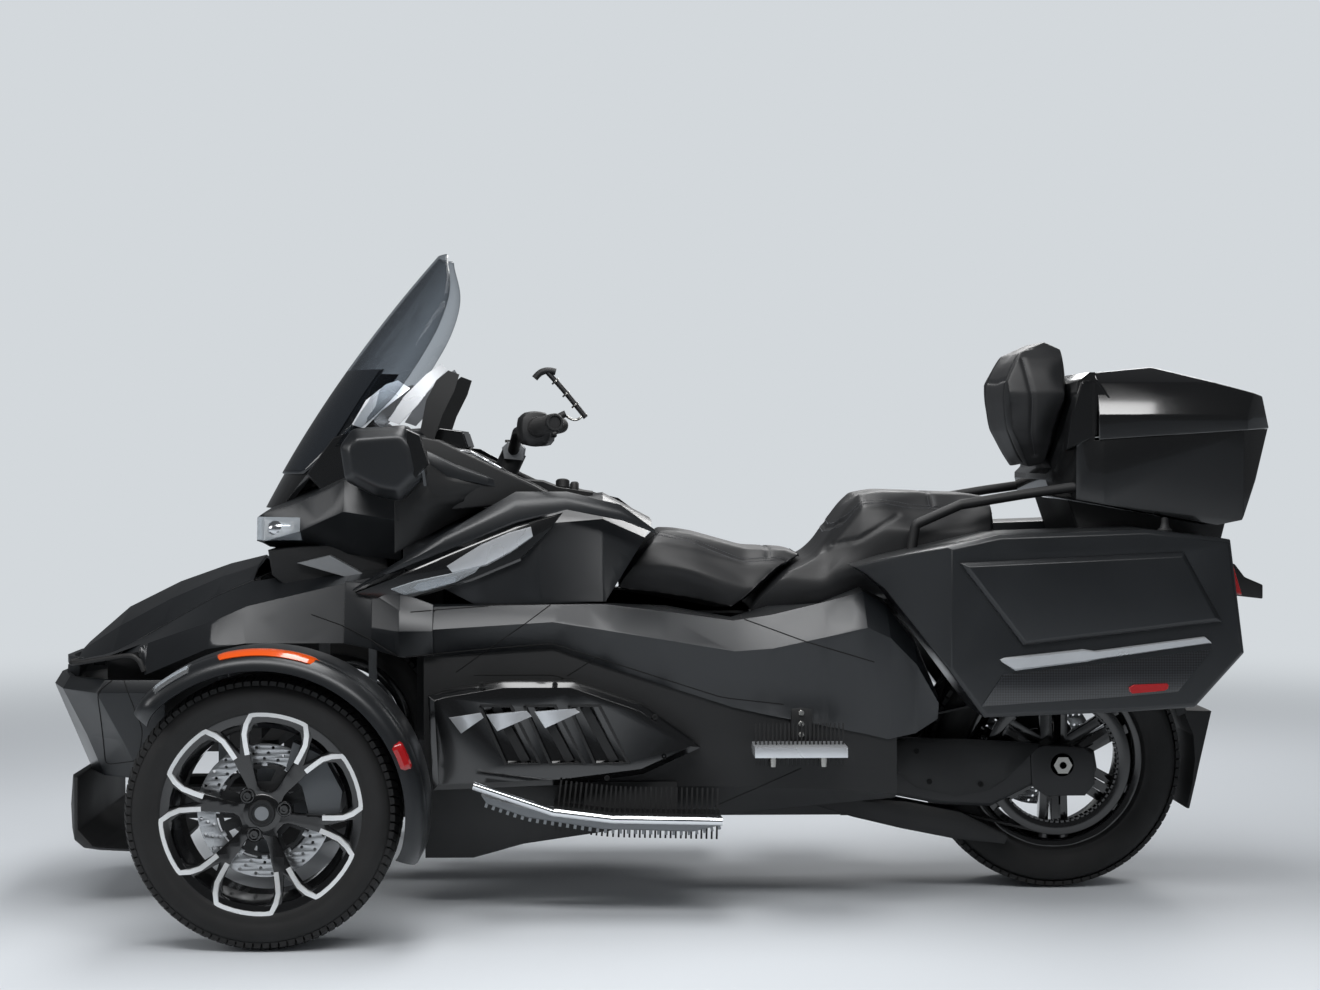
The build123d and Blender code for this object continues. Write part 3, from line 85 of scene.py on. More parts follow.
def add_node(tree, kind, inputs=None, **settings):
    """Adds a node, sets its properties, and sets or links its inputs by name or number."""
    made = tree.nodes.new(kind)
    for key, value in settings.items():
        setattr(made, key, value)
    for key, value in (inputs or {}).items():
        if isinstance(value, bpy.types.NodeSocket):
            tree.links.new(value, made.inputs[key])
        else:
            made.inputs[key].default_value = value
    return made


def placed(name, data):
    """Object in the scene for a mesh, curve, lamp or camera."""
    made = bpy.data.objects.new(name, data)
    scene.collection.objects.link(made)
    return made


def seen_directly(tree):
    """Socket that is 1 where the camera sees a surface, bare or through glass, and otherwise 0."""
    rays = add_node(tree, "ShaderNodeLightPath").outputs
    looks = {0: rays["Is Camera Ray"], 1: rays["Is Transmission Ray"]}
    return add_node(tree, "ShaderNodeMath", looks, operation="MAXIMUM").outputs[0]


def blank_paint(name, **values):
    """New material with its node tree and main shader, whose own sockets are set by name."""
    paint = bpy.data.materials.new(name)
    paint.use_nodes = True
    shader = paint.node_tree.nodes["Principled BSDF"]
    for key, value in values.items():
        shader.inputs[key.replace("_", " ")].default_value = value
    return paint, paint.node_tree, shader


scene = bpy.context.scene
scene.view_settings.view_transform = "Standard"
camera = placed("camera", bpy.data.cameras.new("camera"))
camera.location = (0.153, 5.35, 1.015)
camera.rotation_euler = (radians(90 - 1.27), 0, radians(180 - 1.56))
camera.data.lens = 63.2
camera.data.sensor_width = 36
camera.data.clip_end = 60
scene.camera = camera

for label, place, size, aim, watts in (
    ("softbox_over", (0.2, 0.0, 3.3), (3.6, 1.1), (0.0, 0.0, 0.6), 80),
    ("softbox_shoulder", (0.4, 2.7, 2.9), (3.8, 0.7), (0.0, 0.2, 0.7), 78),
    ("softbox_front", (4.2, 1.4, 1.9), (1.4, 1.4), (0.6, 0.0, 0.6), 26),
    ("strip_behind", (-1.6, -3.0, 2.6), (3.0, 0.8), (-0.3, 0.0, 0.8), 50),
):
    lamp = placed(label, bpy.data.lights.new(label, "AREA"))
    lamp.data.shape = "RECTANGLE"
    lamp.data.size, lamp.data.size_y = size
    lamp.data.energy = watts
    lamp.location = place
    lamp.rotation_euler = (Vector(aim) - Vector(place)).to_track_quat("-Z", "Y").to_euler()

WALL_COLOUR = linear("#d3d8dc")
world = bpy.data.worlds.new("cove")
scene.world = world
world.use_nodes = True
world_tree = world.node_tree
world_tree.nodes.clear()
# Dark flags stand beside the set: reflections on the bodywork see far less of the cove than the camera does
mirrored = add_node(world_tree, "ShaderNodeLightPath").outputs["Is Glossy Ray"]
flagged = add_node(
    world_tree,
    "ShaderNodeMapRange",
    {"Value": mirrored, "From Min": 0.0, "From Max": 1.0, "To Min": 0.44, "To Max": 0.13},
)
cove_light = add_node(
    world_tree, "ShaderNodeBackground", {"Color": linear("#dfe3e8"), "Strength": flagged.outputs[0]}
)
cove_wall = add_node(world_tree, "ShaderNodeBackground", {"Color": WALL_COLOUR, "Strength": 1.0})
cove = add_node(
    world_tree,
    "ShaderNodeMixShader",
    {0: seen_directly(world_tree), 1: cove_light.outputs[0], 2: cove_wall.outputs[0]},
)
add_node(world_tree, "ShaderNodeOutputWorld", {"Surface": cove.outputs[0]})

FLOOR_REACH = 30
FLOOR_LEVEL = -0.001
floor_corners = [
    (x * FLOOR_REACH, y * FLOOR_REACH, FLOOR_LEVEL) for x, y in ((-1, -1), (1, -1), (1, 1), (-1, 1))
]
floor_mesh = bpy.data.meshes.new("studio_floor")
floor_mesh.from_pydata(floor_corners, [], [(0, 1, 2, 3)])
floor = placed("studio_floor", floor_mesh)
# Matt floor paint, which blends into the pale wall of the cove between 2 and 7 m from the trike
floor_paint, floor_tree, floor_shader = blank_paint(
    "painted_floor", Base_Color=linear("#d4d8dc"), Roughness=0.42, Specular_IOR_Level=0.3
)
floor_place = add_node(floor_tree, "ShaderNodeTexCoord").outputs["Object"]
reach = add_node(floor_tree, "ShaderNodeVectorMath", {0: floor_place}, operation="LENGTH")
fade = add_node(
    floor_tree,
    "ShaderNodeMapRange",
    {"Value": reach.outputs["Value"], "From Min": 2.0, "From Max": 7.0, "To Min": 0.0, "To Max": 1.0},
    interpolation_type="SMOOTHERSTEP",
)
wall_share = add_node(
    floor_tree, "ShaderNodeMath", {0: fade.outputs[0], 1: seen_directly(floor_tree)}, operation="MULTIPLY"
)
wall_paint = add_node(floor_tree, "ShaderNodeEmission", {"Color": WALL_COLOUR, "Strength": 1.0})
blended = add_node(
    floor_tree,
    "ShaderNodeMixShader",
    {0: wall_share.outputs[0], 1: floor_shader.outputs[0], 2: wall_paint.outputs[0]},
)
floor_tree.links.new(blended.outputs[0], floor_tree.nodes["Material Output"].inputs["Surface"])
floor_mesh.materials.append(floor_paint)

# Frame and driveline: welded steel rails in satin powder coat, the cast engine cases and the belt. Most of it
# hides behind the panels, so the CAD solids stay and only take their real finishes here.


def finish(name, shades, roughness, grain, relief, patch=0.22, metal=0.0, **shader_values):
    """Base finish on Object coordinates: fine grain in metres for bump, broad patches for shade and gloss."""
    paint, tree, shader = blank_paint(name, Metallic=metal, **shader_values)
    place = add_node(tree, "ShaderNodeTexCoord").outputs["Object"]
    fine = add_node(tree, "ShaderNodeTexNoise", {"Vector": place, "Scale": 0.5 / grain, "Detail": 3.0})
    broad = add_node(tree, "ShaderNodeTexNoise", {"Vector": place, "Scale": 1 / patch, "Detail": 2.0})
    tints = {0: broad.outputs[0], 6: linear(shades[0]), 7: linear(shades[1])}
    colour = add_node(tree, "ShaderNodeMix", tints, data_type="RGBA")
    gloss = add_node(
        tree,
        "ShaderNodeMapRange",
        {
            "Value": broad.outputs[0], "From Min": 0.3, "From Max": 0.7, "To Min": roughness[0],
            "To Max": roughness[1],
        },
    )
    bump = add_node(tree, "ShaderNodeBump", {"Height": fine.outputs[0], "Strength": 0.6, "Distance": relief})
    tree.links.new(colour.outputs[2], shader.inputs["Base Color"])
    tree.links.new(gloss.outputs[0], shader.inputs["Roughness"])
    tree.links.new(bump.outputs[0], shader.inputs["Normal"])
    return paint


# Satin powder coat: orange-peel of about 2 mm gives a soft broken highlight
powder_coat = finish("powder_coated_steel", ("#141517", "#1b1c1e"), (0.42, 0.55), 0.002, 0.0002)
# Sand-cast aluminium: dull, with grit of 1 mm
cast_alloy = finish("sand_cast_aluminium", ("#7d8083", "#9a9da0"), (0.42, 0.6), 0.001, 0.0003, metal=0.85)
# Turned steel: bright, slightly yellow, fine machining marks
bare_steel = finish("turned_steel", ("#9c9b97", "#b9b8b4"), (0.22, 0.34), 0.0006, 0.00005, metal=1.0)
# Moulded ABS with a spark-eroded grain of 0.8 mm: matt, and slightly grey where it catches light
black_abs = finish("moulded_black_abs", ("#0c0d0e", "#141517"), (0.48, 0.62), 0.0008, 0.00018)
# Satin metallic paint: dark graphite, with a coat that gives long soft highlights
graphite_paint = finish(
    "satin_graphite_paint", ("#15171a", "#1d2023"), (0.33, 0.41), 0.0012, 0.00003,
    metal=0.4, Coat_Weight=0.45, Coat_Roughness=0.28,
)
# Clear-coated black paint: mirror-like
gloss_black = finish(
    "gloss_black_paint", ("#050506", "#08090a"), (0.14, 0.22), 0.004, 0.00001,
    Coat_Weight=1.0, Coat_Roughness=0.09,
)
# Chrome plate over polished steel
chrome = finish("chrome_plate", ("#d9dcdf", "#e6e8ea"), (0.05, 0.09), 0.003, 0.00001, metal=1.0)
# Vulcanised rubber: matt, dusty grey in patches
rubber = finish("vulcanised_rubber", ("#0c0c0d", "#171717"), (0.68, 0.82), 0.0008, 0.0002, patch=0.08)
# Moulded grip rubber, also on the belt: slightly smoother than a tyre
soft_rubber = finish(
    "moulded_grip_rubber", ("#0b0b0c", "#121213"), (0.55, 0.66), 0.0006, 0.0001, patch=0.05
)
# Leather-grain vinyl over foam: 1.4 mm pebbles and a soft sheen
seat_vinyl = finish("leather_grain_vinyl", ("#101113", "#18191b"), (0.42, 0.52), 0.0014, 0.00025, patch=0.12)
# Smoked acrylic sheet: dark, and seen through
smoked_acrylic = finish(
    "smoked_acrylic", ("#3c4044", "#44484c"), (0.02, 0.03), 0.02, 0.00001, Transmission_Weight=0.9, IOR=1.49
)
# Moulded clear polycarbonate: nearly colourless, with sharp reflections
clear_lens = finish(
    "clear_polycarbonate", ("#e9edf0", "#f2f5f7"), (0.02, 0.04), 0.01, 0.00001, Transmission_Weight=0.92,
    IOR=1.58,
)

slot_finishes = {
    "painted_frame": powder_coat,
    "satin_grey": graphite_paint,
    "black_plastic": black_abs,
    "clear_lens": clear_lens,
    "smoked_glass": smoked_acrylic,
    "gloss_black": gloss_black,
    "chrome": chrome,
    "black_leather": seat_vinyl,
    "bare_steel": bare_steel,
    "belt_rubber": soft_rubber,
    "cast_aluminium": cast_alloy,
    "wheel_black": gloss_black,
    "tyre_rubber": rubber,
    "grip_rubber": soft_rubber,
}
for row in frame["record"]["subparts"]:
    node_mesh = nodes[row["node"]].data
    node_mesh.materials.clear()
    node_mesh.materials.append(slot_finishes[row["material_slot"]])

# Front wheels: one-piece cast aluminium rims with six forked spokes, painted gloss black. The edges of the
# six windows are then turned bright on a lathe. Three bolts hold each wheel to its hub.


@contextmanager
def opened(data):
    """Opens a mesh for editing, and writes it back."""
    shell = bmesh.new()
    shell.from_mesh(data)
    yield shell
    shell.to_mesh(data)
    shell.free()


def shaded(data, smooth):
    """Shades a mesh smooth, with the edges that are sharper than the angle kept crisp."""
    data.shade_smooth()
    data.set_sharp_from_angle(angle=radians(smooth))


def mesh_piece(name, points, faces, material, smooth=40):
    """Mesh object of one material with its points merged and its faces outward."""
    made = bpy.data.meshes.new(name)
    made.from_pydata([tuple(p) for p in points], [], faces)
    with opened(made) as shell:
        bmesh.ops.remove_doubles(shell, verts=shell.verts, dist=1e-5)
        bmesh.ops.recalc_face_normals(shell, faces=shell.faces)
    shaded(made, smooth)
    made.materials.append(material)
    return placed(name, made)


def lofted(name, rings, material, smooth=40, capped=True):
    """Skin through rings of as many points each. Its ends are capped, or else joined to each other."""
    count = len(rings[0])
    faces = []
    for i in range(len(rings) - 1 if capped else len(rings)):
        here = i * count
        there = (i + 1) % len(rings) * count
        faces += [
            (here + j, here + (j + 1) % count, there + (j + 1) % count, there + j) for j in range(count)
        ]
    if capped:
        faces += [tuple(range(count)), tuple(range(there, there + count))]
    return mesh_piece(name, [point for ring in rings for point in ring], faces, material, smooth)


def fit_on(piece, body, replaced=()):
    """Fixes a finished piece to the body it moves with, and hides the CAD solids it stands for."""
    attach(piece, body)
    if replaced:
        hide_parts(*replaced)
    return piece


def other_side(piece):
    """Copy of a left piece for the right side of the trike, and named so."""
    twin = piece.copy()
    twin.data = piece.data.copy()
    twin.name = piece.name.replace("left", "right")
    twin.data.name = twin.name
    twin.data.transform(Matrix.Scale(-1, 4, (0, 1, 0)))
    twin.data.flip_normals()
    twin.parent = None
    scene.collection.objects.link(twin)
    return twin


def fit_pair(piece, body, replaced=()):
    """Fixes a finished left piece to its body, and its twin to the right one where the body has a side."""
    twin = other_side(piece)
    fit_on(piece, body, replaced)
    fit_on(twin, body.replace("left", "right"), [node.replace("left", "right") for node in replaced])


def turned(name, profile, centre, steps, material, smooth=40):
    """Ring or disc turned round an axis along Y: a profile of (radius, y) points, closed on itself."""
    rings = []
    for i in range(steps):
        angle = 2 * pi * i / steps
        rings.append(
            [(centre[0] + r * cos(angle), centre[1] + y, centre[2] + r * sin(angle)) for r, y in profile]
        )
    return lofted(name, rings, material, smooth, capped=False)


def as_made(piece):
    """Plain mesh of an object, its modifiers or its curve settings included."""
    return bpy.data.meshes.new_from_object(piece.evaluated_get(bpy.context.evaluated_depsgraph_get()))


DISH_RADIUS = 0.18
DISH_GRID = 0.022


def sunk(dish, x, z):
    """Depth of a dished face at a point (x, z) from the wheel's middle."""
    return dish * max(0.0, 1 - hypot(x, z) / DISH_RADIUS)


def cut_plate(name, outlines, centre, y_face, thickness, bevel, material, dish=None):
    """Plate cut to closed (x, z) outlines, its edges rounded, dished towards its middle where asked."""
    drawing = bpy.data.curves.new(name, "CURVE")
    drawing.dimensions = "2D"
    drawing.fill_mode = "BOTH"
    for outline in outlines:
        line = drawing.splines.new("POLY")
        line.points.add(len(outline) - 1)
        for point, (x, z) in zip(line.points, outline):
            point.co = (x, z, 0, 1)
        line.use_cyclic_u = True
    drawing.extrude = thickness / 2 - bevel
    drawing.bevel_depth = bevel
    drawing.offset = -bevel
    drawing.bevel_resolution = 1
    sheet = placed(name, drawing)
    raw = as_made(sheet)
    corner = Vector((centre[0], centre[1] + y_face - thickness / 2, centre[2]))
    points = [corner + Vector((v.co.x, v.co.z, v.co.y)) for v in raw.vertices]
    faces = [tuple(polygon.vertices) for polygon in raw.polygons]
    bpy.data.objects.remove(sheet)
    bpy.data.meshes.remove(raw)
    plate = mesh_piece(name, points, faces, material, 35)
    if dish:
        with opened(plate.data) as shell:
            for step in range(-8, 9):
                for way in (Vector((1, 0, 0)), Vector((0, 0, 1))):
                    whole = shell.verts[:] + shell.edges[:] + shell.faces[:]
                    cut = Vector(centre) + step * DISH_GRID * way
                    bmesh.ops.bisect_plane(shell, geom=whole, plane_co=cut, plane_no=way)
            for vertex in shell.verts:
                vertex.co.y -= sunk(dish, vertex.co.x - centre[0], vertex.co.z - centre[2])
    return plate


def polar(radius, degrees):
    """Point (x, z) at a radius, by the angle from straight ahead towards the top."""
    return (radius * cos(radians(degrees)), radius * sin(radians(degrees)))


def circle(radius, count, middle=(0.0, 0.0)):
    """Points (x, z) of a circle."""
    turns = [2 * pi * i / count for i in range(count)]
    return [(middle[0] + radius * cos(turn), middle[1] + radius * sin(turn)) for turn in turns]


def stripe(name, path, width, y_low, y_high, centre, material, dish=0.0):
    """Raised flat strip of even width that follows an open (x, z) path, dished like the plate under it."""
    rings = []
    for i, (x, z) in enumerate(path):
        before = path[max(0, i - 1)]
        after = path[min(len(path) - 1, i + 1)]
        run = Vector((after[0] - before[0], after[1] - before[1])).normalized() * width
        ring = []
        for side, y in ((-0.5, y_low), (-0.42, y_high), (0.42, y_high), (0.5, y_low)):
            spot = (x - side * run.y, y - sunk(dish, x, z), z + side * run.x)
            ring.append(Vector(centre) + Vector(spot))
        rings.append(ring)
    return lofted(name, rings, material, 25)


def join(pieces, name):
    """One object from several, each keeping its own material."""
    with bpy.context.temp_override(active_object=pieces[0], selected_editable_objects=pieces):
        bpy.ops.object.join()
    pieces[0].name = name
    pieces[0].data.name = name
    return pieces[0]


# Lathe-turned aluminium under clear lacquer: bright, with a fine grain for its tool marks. The real marks are
# concentric and 0.4 mm apart, and the grain is drawn 1.5 mm across so that it shows
turned_edge = finish(
    "lathe_turned_aluminium", ("#dfe1e2", "#eceded"), (0.26, 0.34), 0.0015, 0.00004, metal=0.6
)
# Black lacquer over the casting: glossy, with a faint trace of the cast skin
wheel_black = finish(
    "gloss_black_wheel_lacquer", ("#060607", "#0b0b0c"), (0.14, 0.2), 0.003, 0.00003,
    Coat_Weight=0.8, Coat_Roughness=0.08,
)
front_axle = (0.823, 0.654, 0.276)
rim_profile = [
    (0.204, 0.0715), (0.2035, 0.0645), (0.1905, 0.0615), (0.19, 0.047), (0.176, 0.034), (0.176, -0.034),
    (0.19, -0.047), (0.1905, -0.0615), (0.2035, -0.0645), (0.204, -0.0715), (0.1975, -0.0715),
    (0.184, -0.064),
    (0.181, -0.048), (0.168, -0.030), (0.168, 0.030), (0.181, 0.050), (0.184, 0.066), (0.1965, 0.0715),
]
rim_barrel = turned("front_rim_barrel", rim_profile, front_axle, 96, wheel_black, 30)
# One side of a window and of its bright edge: radius, and degrees from the window's middle
WINDOW_HALF = [
    (0.0475, 12), (0.056, 18.5), (0.070, 20.2), (0.095, 20.8), (0.1235, 21.4), (0.164, 19), (0.180, 15),
    (0.1835, 9),
]
BRIGHT_HALF = [
    (0.121, 24.0), (0.142, 23.2), (0.163, 22.3), (0.182, 19.6), (0.1985, 16.2), (0.2005, 12.5), (0.2005, 6),
]
window_turns = [100.5 + 60 * k for k in range(6)]


def both_halves(half, turn, top):
    """A half outline, the point at its top, and the mirrored half back again."""
    there = [polar(r, turn + a) for r, a in half]
    return there + [polar(top, turn)] + [polar(r, turn - a) for r, a in reversed(half)]


windows = [both_halves(WINDOW_HALF, turn, 0.1845) + [polar(0.0455, turn)] for turn in window_turns]
notches = []
for turn in window_turns:
    corners = ((0.132, 30), (0.182, 36.5), (0.1845, 30), (0.182, 23.5))
    notches.append([polar(r, turn + a) for r, a in corners])
spoke_face = cut_plate(
    "front_spokes", [circle(0.190, 96)] + windows + notches, front_axle, 0.0665, 0.016, 0.003, wheel_black,
    0.016,
)
bright_edges = []
for turn in window_turns:
    path = both_halves(BRIGHT_HALF, turn, 0.2005)
    bright_edges.append(stripe("bright_edge", path, 0.0115, 0.064, 0.0735, front_axle, turned_edge, 0.034))
hub_cap = turned(
    "hub_cap",
    [
        (0.0, 0.0605), (0.0195, 0.0605), (0.0205, 0.0625), (0.0250, 0.0625), (0.0270, 0.0600),
        (0.0270, 0.045), (0.0, 0.045),
    ],
    front_axle, 40, black_abs,
)
hub_face = turned(
    "hub_face", [(0.020, 0.0570), (0.034, 0.0565), (0.039, 0.053), (0.041, 0.037), (0.020, 0.037)],
    front_axle, 64, wheel_black,
)


def made_by_nodes(name, start, inputs, build, smooth=35):
    """Node tree made one plain mesh: inputs are (label, kind, value), and build wires its middle."""
    tree = bpy.data.node_groups.new(name, "GeometryNodeTree")
    tree.interface.new_socket("Geometry", in_out="OUTPUT", socket_type="NodeSocketGeometry")
    ports = {}
    for label, kind, _ in [("Geometry", "Geometry", None)] + inputs:
        ports[label] = tree.interface.new_socket(
            label, in_out="INPUT", socket_type="NodeSocket" + kind
        ).identifier
    given = add_node(tree, "NodeGroupInput").outputs
    real = add_node(tree, "GeometryNodeRealizeInstances", {"Geometry": build(tree, given).outputs[0]})
    dressed = add_node(
        tree, "GeometryNodeSetMaterial", {"Geometry": real.outputs[0], "Material": given["Finish"]}
    )
    add_node(tree, "NodeGroupOutput", {"Geometry": dressed.outputs[0]})
    holder = placed(name, start)
    maker = holder.modifiers.new(name, "NODES")
    maker.node_group = tree
    for label, _, value in inputs:
        maker[ports[label]] = value
    made = as_made(holder)
    holder.modifiers.remove(maker)
    bpy.data.objects.remove(holder)
    made.name = name
    shaded(made, smooth)
    return placed(name, made)


def placed_copies(tree, points, unit, turn):
    """The nodes that set one unit on each point, turned by the given rotation."""
    shape = add_node(tree, "GeometryNodeObjectInfo", {"Object": unit})
    return add_node(
        tree, "GeometryNodeInstanceOnPoints",
        {"Points": points, "Instance": shape.outputs["Geometry"], "Rotation": turn},
    )


def ring_of_units(tree, given):
    """Points round a circle in the x-y plane, the unit's x outwards on each."""
    ring = add_node(tree, "GeometryNodeMeshCircle", {"Vertices": given["Count"], "Radius": 1.0})
    step = add_node(tree, "ShaderNodeMath", {0: 2 * pi, 1: given["Count"]}, operation="DIVIDE")
    index = add_node(tree, "GeometryNodeInputIndex")
    turn = add_node(
        tree, "ShaderNodeMath", {0: index.outputs[0], 1: step.outputs[0], 2: given["Start"]},
        operation="MULTIPLY_ADD",
    )
    across = add_node(tree, "ShaderNodeMath", {0: turn.outputs[0]}, operation="COSINE")
    along = add_node(tree, "ShaderNodeMath", {0: turn.outputs[0]}, operation="SINE")
    spot = add_node(tree, "ShaderNodeCombineXYZ", {0: across.outputs[0], 1: along.outputs[0]})
    spread = add_node(
        tree, "ShaderNodeVectorMath", {0: spot.outputs[0], 3: given["Radius"]}, operation="SCALE"
    )
    moved = add_node(
        tree, "GeometryNodeSetPosition", {"Geometry": ring.outputs[0], "Position": spread.outputs[0]}
    )
    facing = add_node(tree, "ShaderNodeCombineXYZ", {2: turn.outputs[0]})
    return placed_copies(tree, moved.outputs[0], given["Unit"], facing.outputs[0])


def repeat_round(name, unit, count, radius, start, material, place):
    """Copies of one unit round a circle, as one mesh: the unit's x points outwards, its z along the axle."""
    inputs = [
        ("Unit", "Object", unit), ("Count", "Int", count), ("Radius", "Float", radius),
        ("Start", "Float", start),
    ]
    ring = made_by_nodes(
        name, bpy.data.meshes.new(name), inputs + [("Finish", "Material", material)], ring_of_units
    )
    ring.data.transform(place)
    return ring


def axle_place(centre):
    """Turns a ring built round Z so that it lies round the axle, its +z side facing left."""
    return Matrix.Translation(centre) @ Matrix.Rotation(radians(-90), 4, "X")


def bolt_unit(name, radius, height, socket):
    """Round bolt head with a round socket, standing on z = 0."""
    profile = [
        (radius, 0.0), (radius, height * 0.8), (radius * 0.86, height), (socket, height),
        (socket, height * 0.45),
    ]
    points = []
    faces = []
    for i in range(12):
        angle = 2 * pi * i / 12
        points += [(r * cos(angle), r * sin(angle), z) for r, z in profile]
        k = (i + 1) % 12
        faces += [(5 * i + j, 5 * k + j, 5 * k + j + 1, 5 * i + j + 1) for j in range(4)]
    faces.append(tuple(5 * i + 4 for i in range(12)))
    return mesh_piece(name, points, faces, bare_steel, 35)


lug_parts = []
for name, radius, height, socket, stand in (
    ("front_lug_bolts", 0.0095, 0.009, 0.0045, 0.0545),
    ("front_lug_seats", 0.0165, 0.014, 0.0120, 0.0440),
):
    unit = bolt_unit(name + "_unit", radius, height, socket)
    place = axle_place((front_axle[0], front_axle[1] + stand, front_axle[2]))
    lug_parts.append(repeat_round(name, unit, 3, 0.045, radians(-50), wheel_black, place))
    bpy.data.objects.remove(unit)
front_cast = join(
    [spoke_face, rim_barrel, hub_face, hub_cap] + lug_parts + bright_edges, "front_wheel_left_cast"
)
fit_pair(front_cast, "front_wheel_left", ["front_wheel_left"])

# Brake discs: stainless rings, drilled and bolted to a carrier, ground in circles on both faces.
# The cast calipers behind the hubs carry pads on both sides of the ring.
drilled = [circle(0.135, 96), circle(0.098, 72)]
for row_radius, row_turn in ((0.105, 0), (0.1165, 4), (0.128, 8)):
    for k in range(24):
        drilled.append(circle(0.0032, 8, polar(row_radius, row_turn + 15 * k)))
carrier = [circle(0.094, 48), circle(0.040, 40)]
for k in range(8):
    opening = ((0.060, -12), (0.084, -15), (0.086, 0), (0.084, 15), (0.060, 12))
    carrier.append([polar(r, 45 * k + a) for r, a in opening])
# Ground stainless steel: mid grey. Its fine circular scratches are drawn as a fine grain
ground_steel = finish("ground_disc_steel", ("#a6a8aa", "#c2c4c6"), (0.24, 0.36), 0.0005, 0.00004, metal=1.0)


def disc_tabs(centre, y_face):
    """The twelve tabs that carry a brake ring on its carrier."""
    tabs = []
    for k in range(12):
        corners = ((0.090, -4), (0.101, -3), (0.101, 3), (0.090, 4))
        outline = [polar(r, 30 * k + a) for r, a in corners]
        tabs.append(cut_plate("disc_tab", [outline], centre, y_face, 0.005, 0.0004, ground_steel))
    return tabs


front_disc_place = (0.823, 0.672, 0.276)
disc_ring = cut_plate("disc_ring", drilled, front_disc_place, 0.003, 0.006, 0.0004, ground_steel)
disc_carrier = cut_plate("disc_carrier", carrier, front_disc_place, 0.001, 0.005, 0.0005, powder_coat)
front_disc = join([disc_ring, disc_carrier] + disc_tabs(front_disc_place, 0.0025), "front_disc_left_drilled")
fit_pair(front_disc, "front_wheel_left", ["front_disc_left"])
# Silver paint on the cast calipers, dulled by brake dust
caliper_paint = finish(
    "silver_caliper_paint", ("#4b4e51", "#5a5d60"), (0.35, 0.45), 0.0015, 0.00008, metal=0.4
)
for caliper in ("caliper_left", "caliper_right"):
    nodes[caliper].data.materials[0] = caliper_paint

# Tyres: moulded rubber carcasses on the rims, with rows of tread blocks that stand between water grooves.
# The front pair is narrower and rounder at the shoulder than the flat rear tyre.

TREAD_DEPTH = 0.009
BEAD_RADIUS = 0.196


def tyre_carcass(name, centre, radius, half_width):
    """Tyre body: a crowned tread, rounded shoulders, bulging side walls and a rim-protecting bead."""
    crown = radius - TREAD_DEPTH
    # Distance from the axle, and the share of the half width there
    half = [
        (BEAD_RADIUS - 0.002, 0.56), (BEAD_RADIUS + 0.004, 0.86), (BEAD_RADIUS + 0.012, 0.93),
        (BEAD_RADIUS + 0.019, 0.915), (BEAD_RADIUS + 0.026, 0.955), ((BEAD_RADIUS + crown) / 2 + 0.004, 1.0),
        (crown - 0.024, 0.975), (crown - 0.014, 0.93), (crown - 0.0065, 0.84), (crown - 0.0018, 0.6),
        (crown, 0.3),
    ]
    wall = [(r, share * half_width) for r, share in half]
    return turned(name, wall + [(r, -y) for r, y in reversed(wall)], centre, 128, rubber, 50)


def tread_block(width, length, skew, lean, across):
    """One moulded block, standing along +x: chamfered at its top and skewed to the rolling direction."""
    rings = []
    for grow, top in ((1.0, 0.0), (0.93, TREAD_DEPTH)):
        ring = []
        for a, b in ((-1, -1), (1, -1), (1, 1), (-1, 1)):
            aside = a * width / 2 * grow
            ring.append((top - lean * aside, b * length / 2 * grow + skew * a, aside + across))
        rings.append(ring)
    return lofted("block", rings, rubber, 30)


def treaded(name, radius, rows, place):
    """Rows of tread blocks: how far across, width, length, skew, lean, drop, how many, shift."""
    rings = []
    for i, (across, width, length, skew, lean, drop, count, shift) in enumerate(rows):
        for side in (1, -1):
            block = tread_block(width, length, side * skew, side * lean, side * across)
            turn = shift + (pi / count if side == -1 else 0)
            row_radius = radius - TREAD_DEPTH - drop
            rings.append(repeat_round(f"{name}_row_{i}", block, count, row_radius, turn, rubber, place))
            bpy.data.objects.remove(block)
    return join(rings, name)


def treaded_tyre(name, end, node, rows):
    """Carcass and tread in the space of a CAD tyre, as one piece."""
    low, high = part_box(node)
    middle = tuple((a + b) / 2 for a, b in zip(low, high))
    radius = (high[2] - low[2]) / 2
    carcass = tyre_carcass(end + "_carcass", middle, radius, (high[1] - low[1]) / 2)
    tread = treaded(end + "_tread", radius, rows, axle_place(middle))
    return join([carcass, tread], name)


front_treads = [
    (0.0115, 0.018, 0.030, 0.006, 0.0, 0.0005, 52, 0.00),
    (0.0355, 0.022, 0.027, 0.008, 0.09, 0.0012, 52, 0.03),
    (0.0625, 0.023, 0.0140, 0.004, 0.38, 0.0052, 96, 0.02),
]
rear_treads = [
    (0.0140, 0.022, 0.036, 0.008, 0.0, 0.0005, 44, 0.00),
    (0.0440, 0.030, 0.033, 0.010, 0.03, 0.0008, 44, 0.04),
    (0.0830, 0.034, 0.0180, 0.005, 0.14, 0.0034, 84, 0.02),
]
front_tyre = treaded_tyre("front_tyre_left_treaded", "front", "front_tyre_left", front_treads)
fit_pair(front_tyre, "front_wheel_left", ["front_tyre_left"])
rear_tyre = treaded_tyre("rear_tyre_treaded", "rear", "rear_tyre", rear_treads)
fit_on(rear_tyre, "rear_wheel", ["rear_tyre"])

# Body panels: nose, flanks, headlight cowl, side fairings, tank cover, skirts and cases. They are moulded in
# thermoplastic, with a radius of 2 to 8 mm on every character line, and painted or left black.

CAD_MERGE = 2e-5


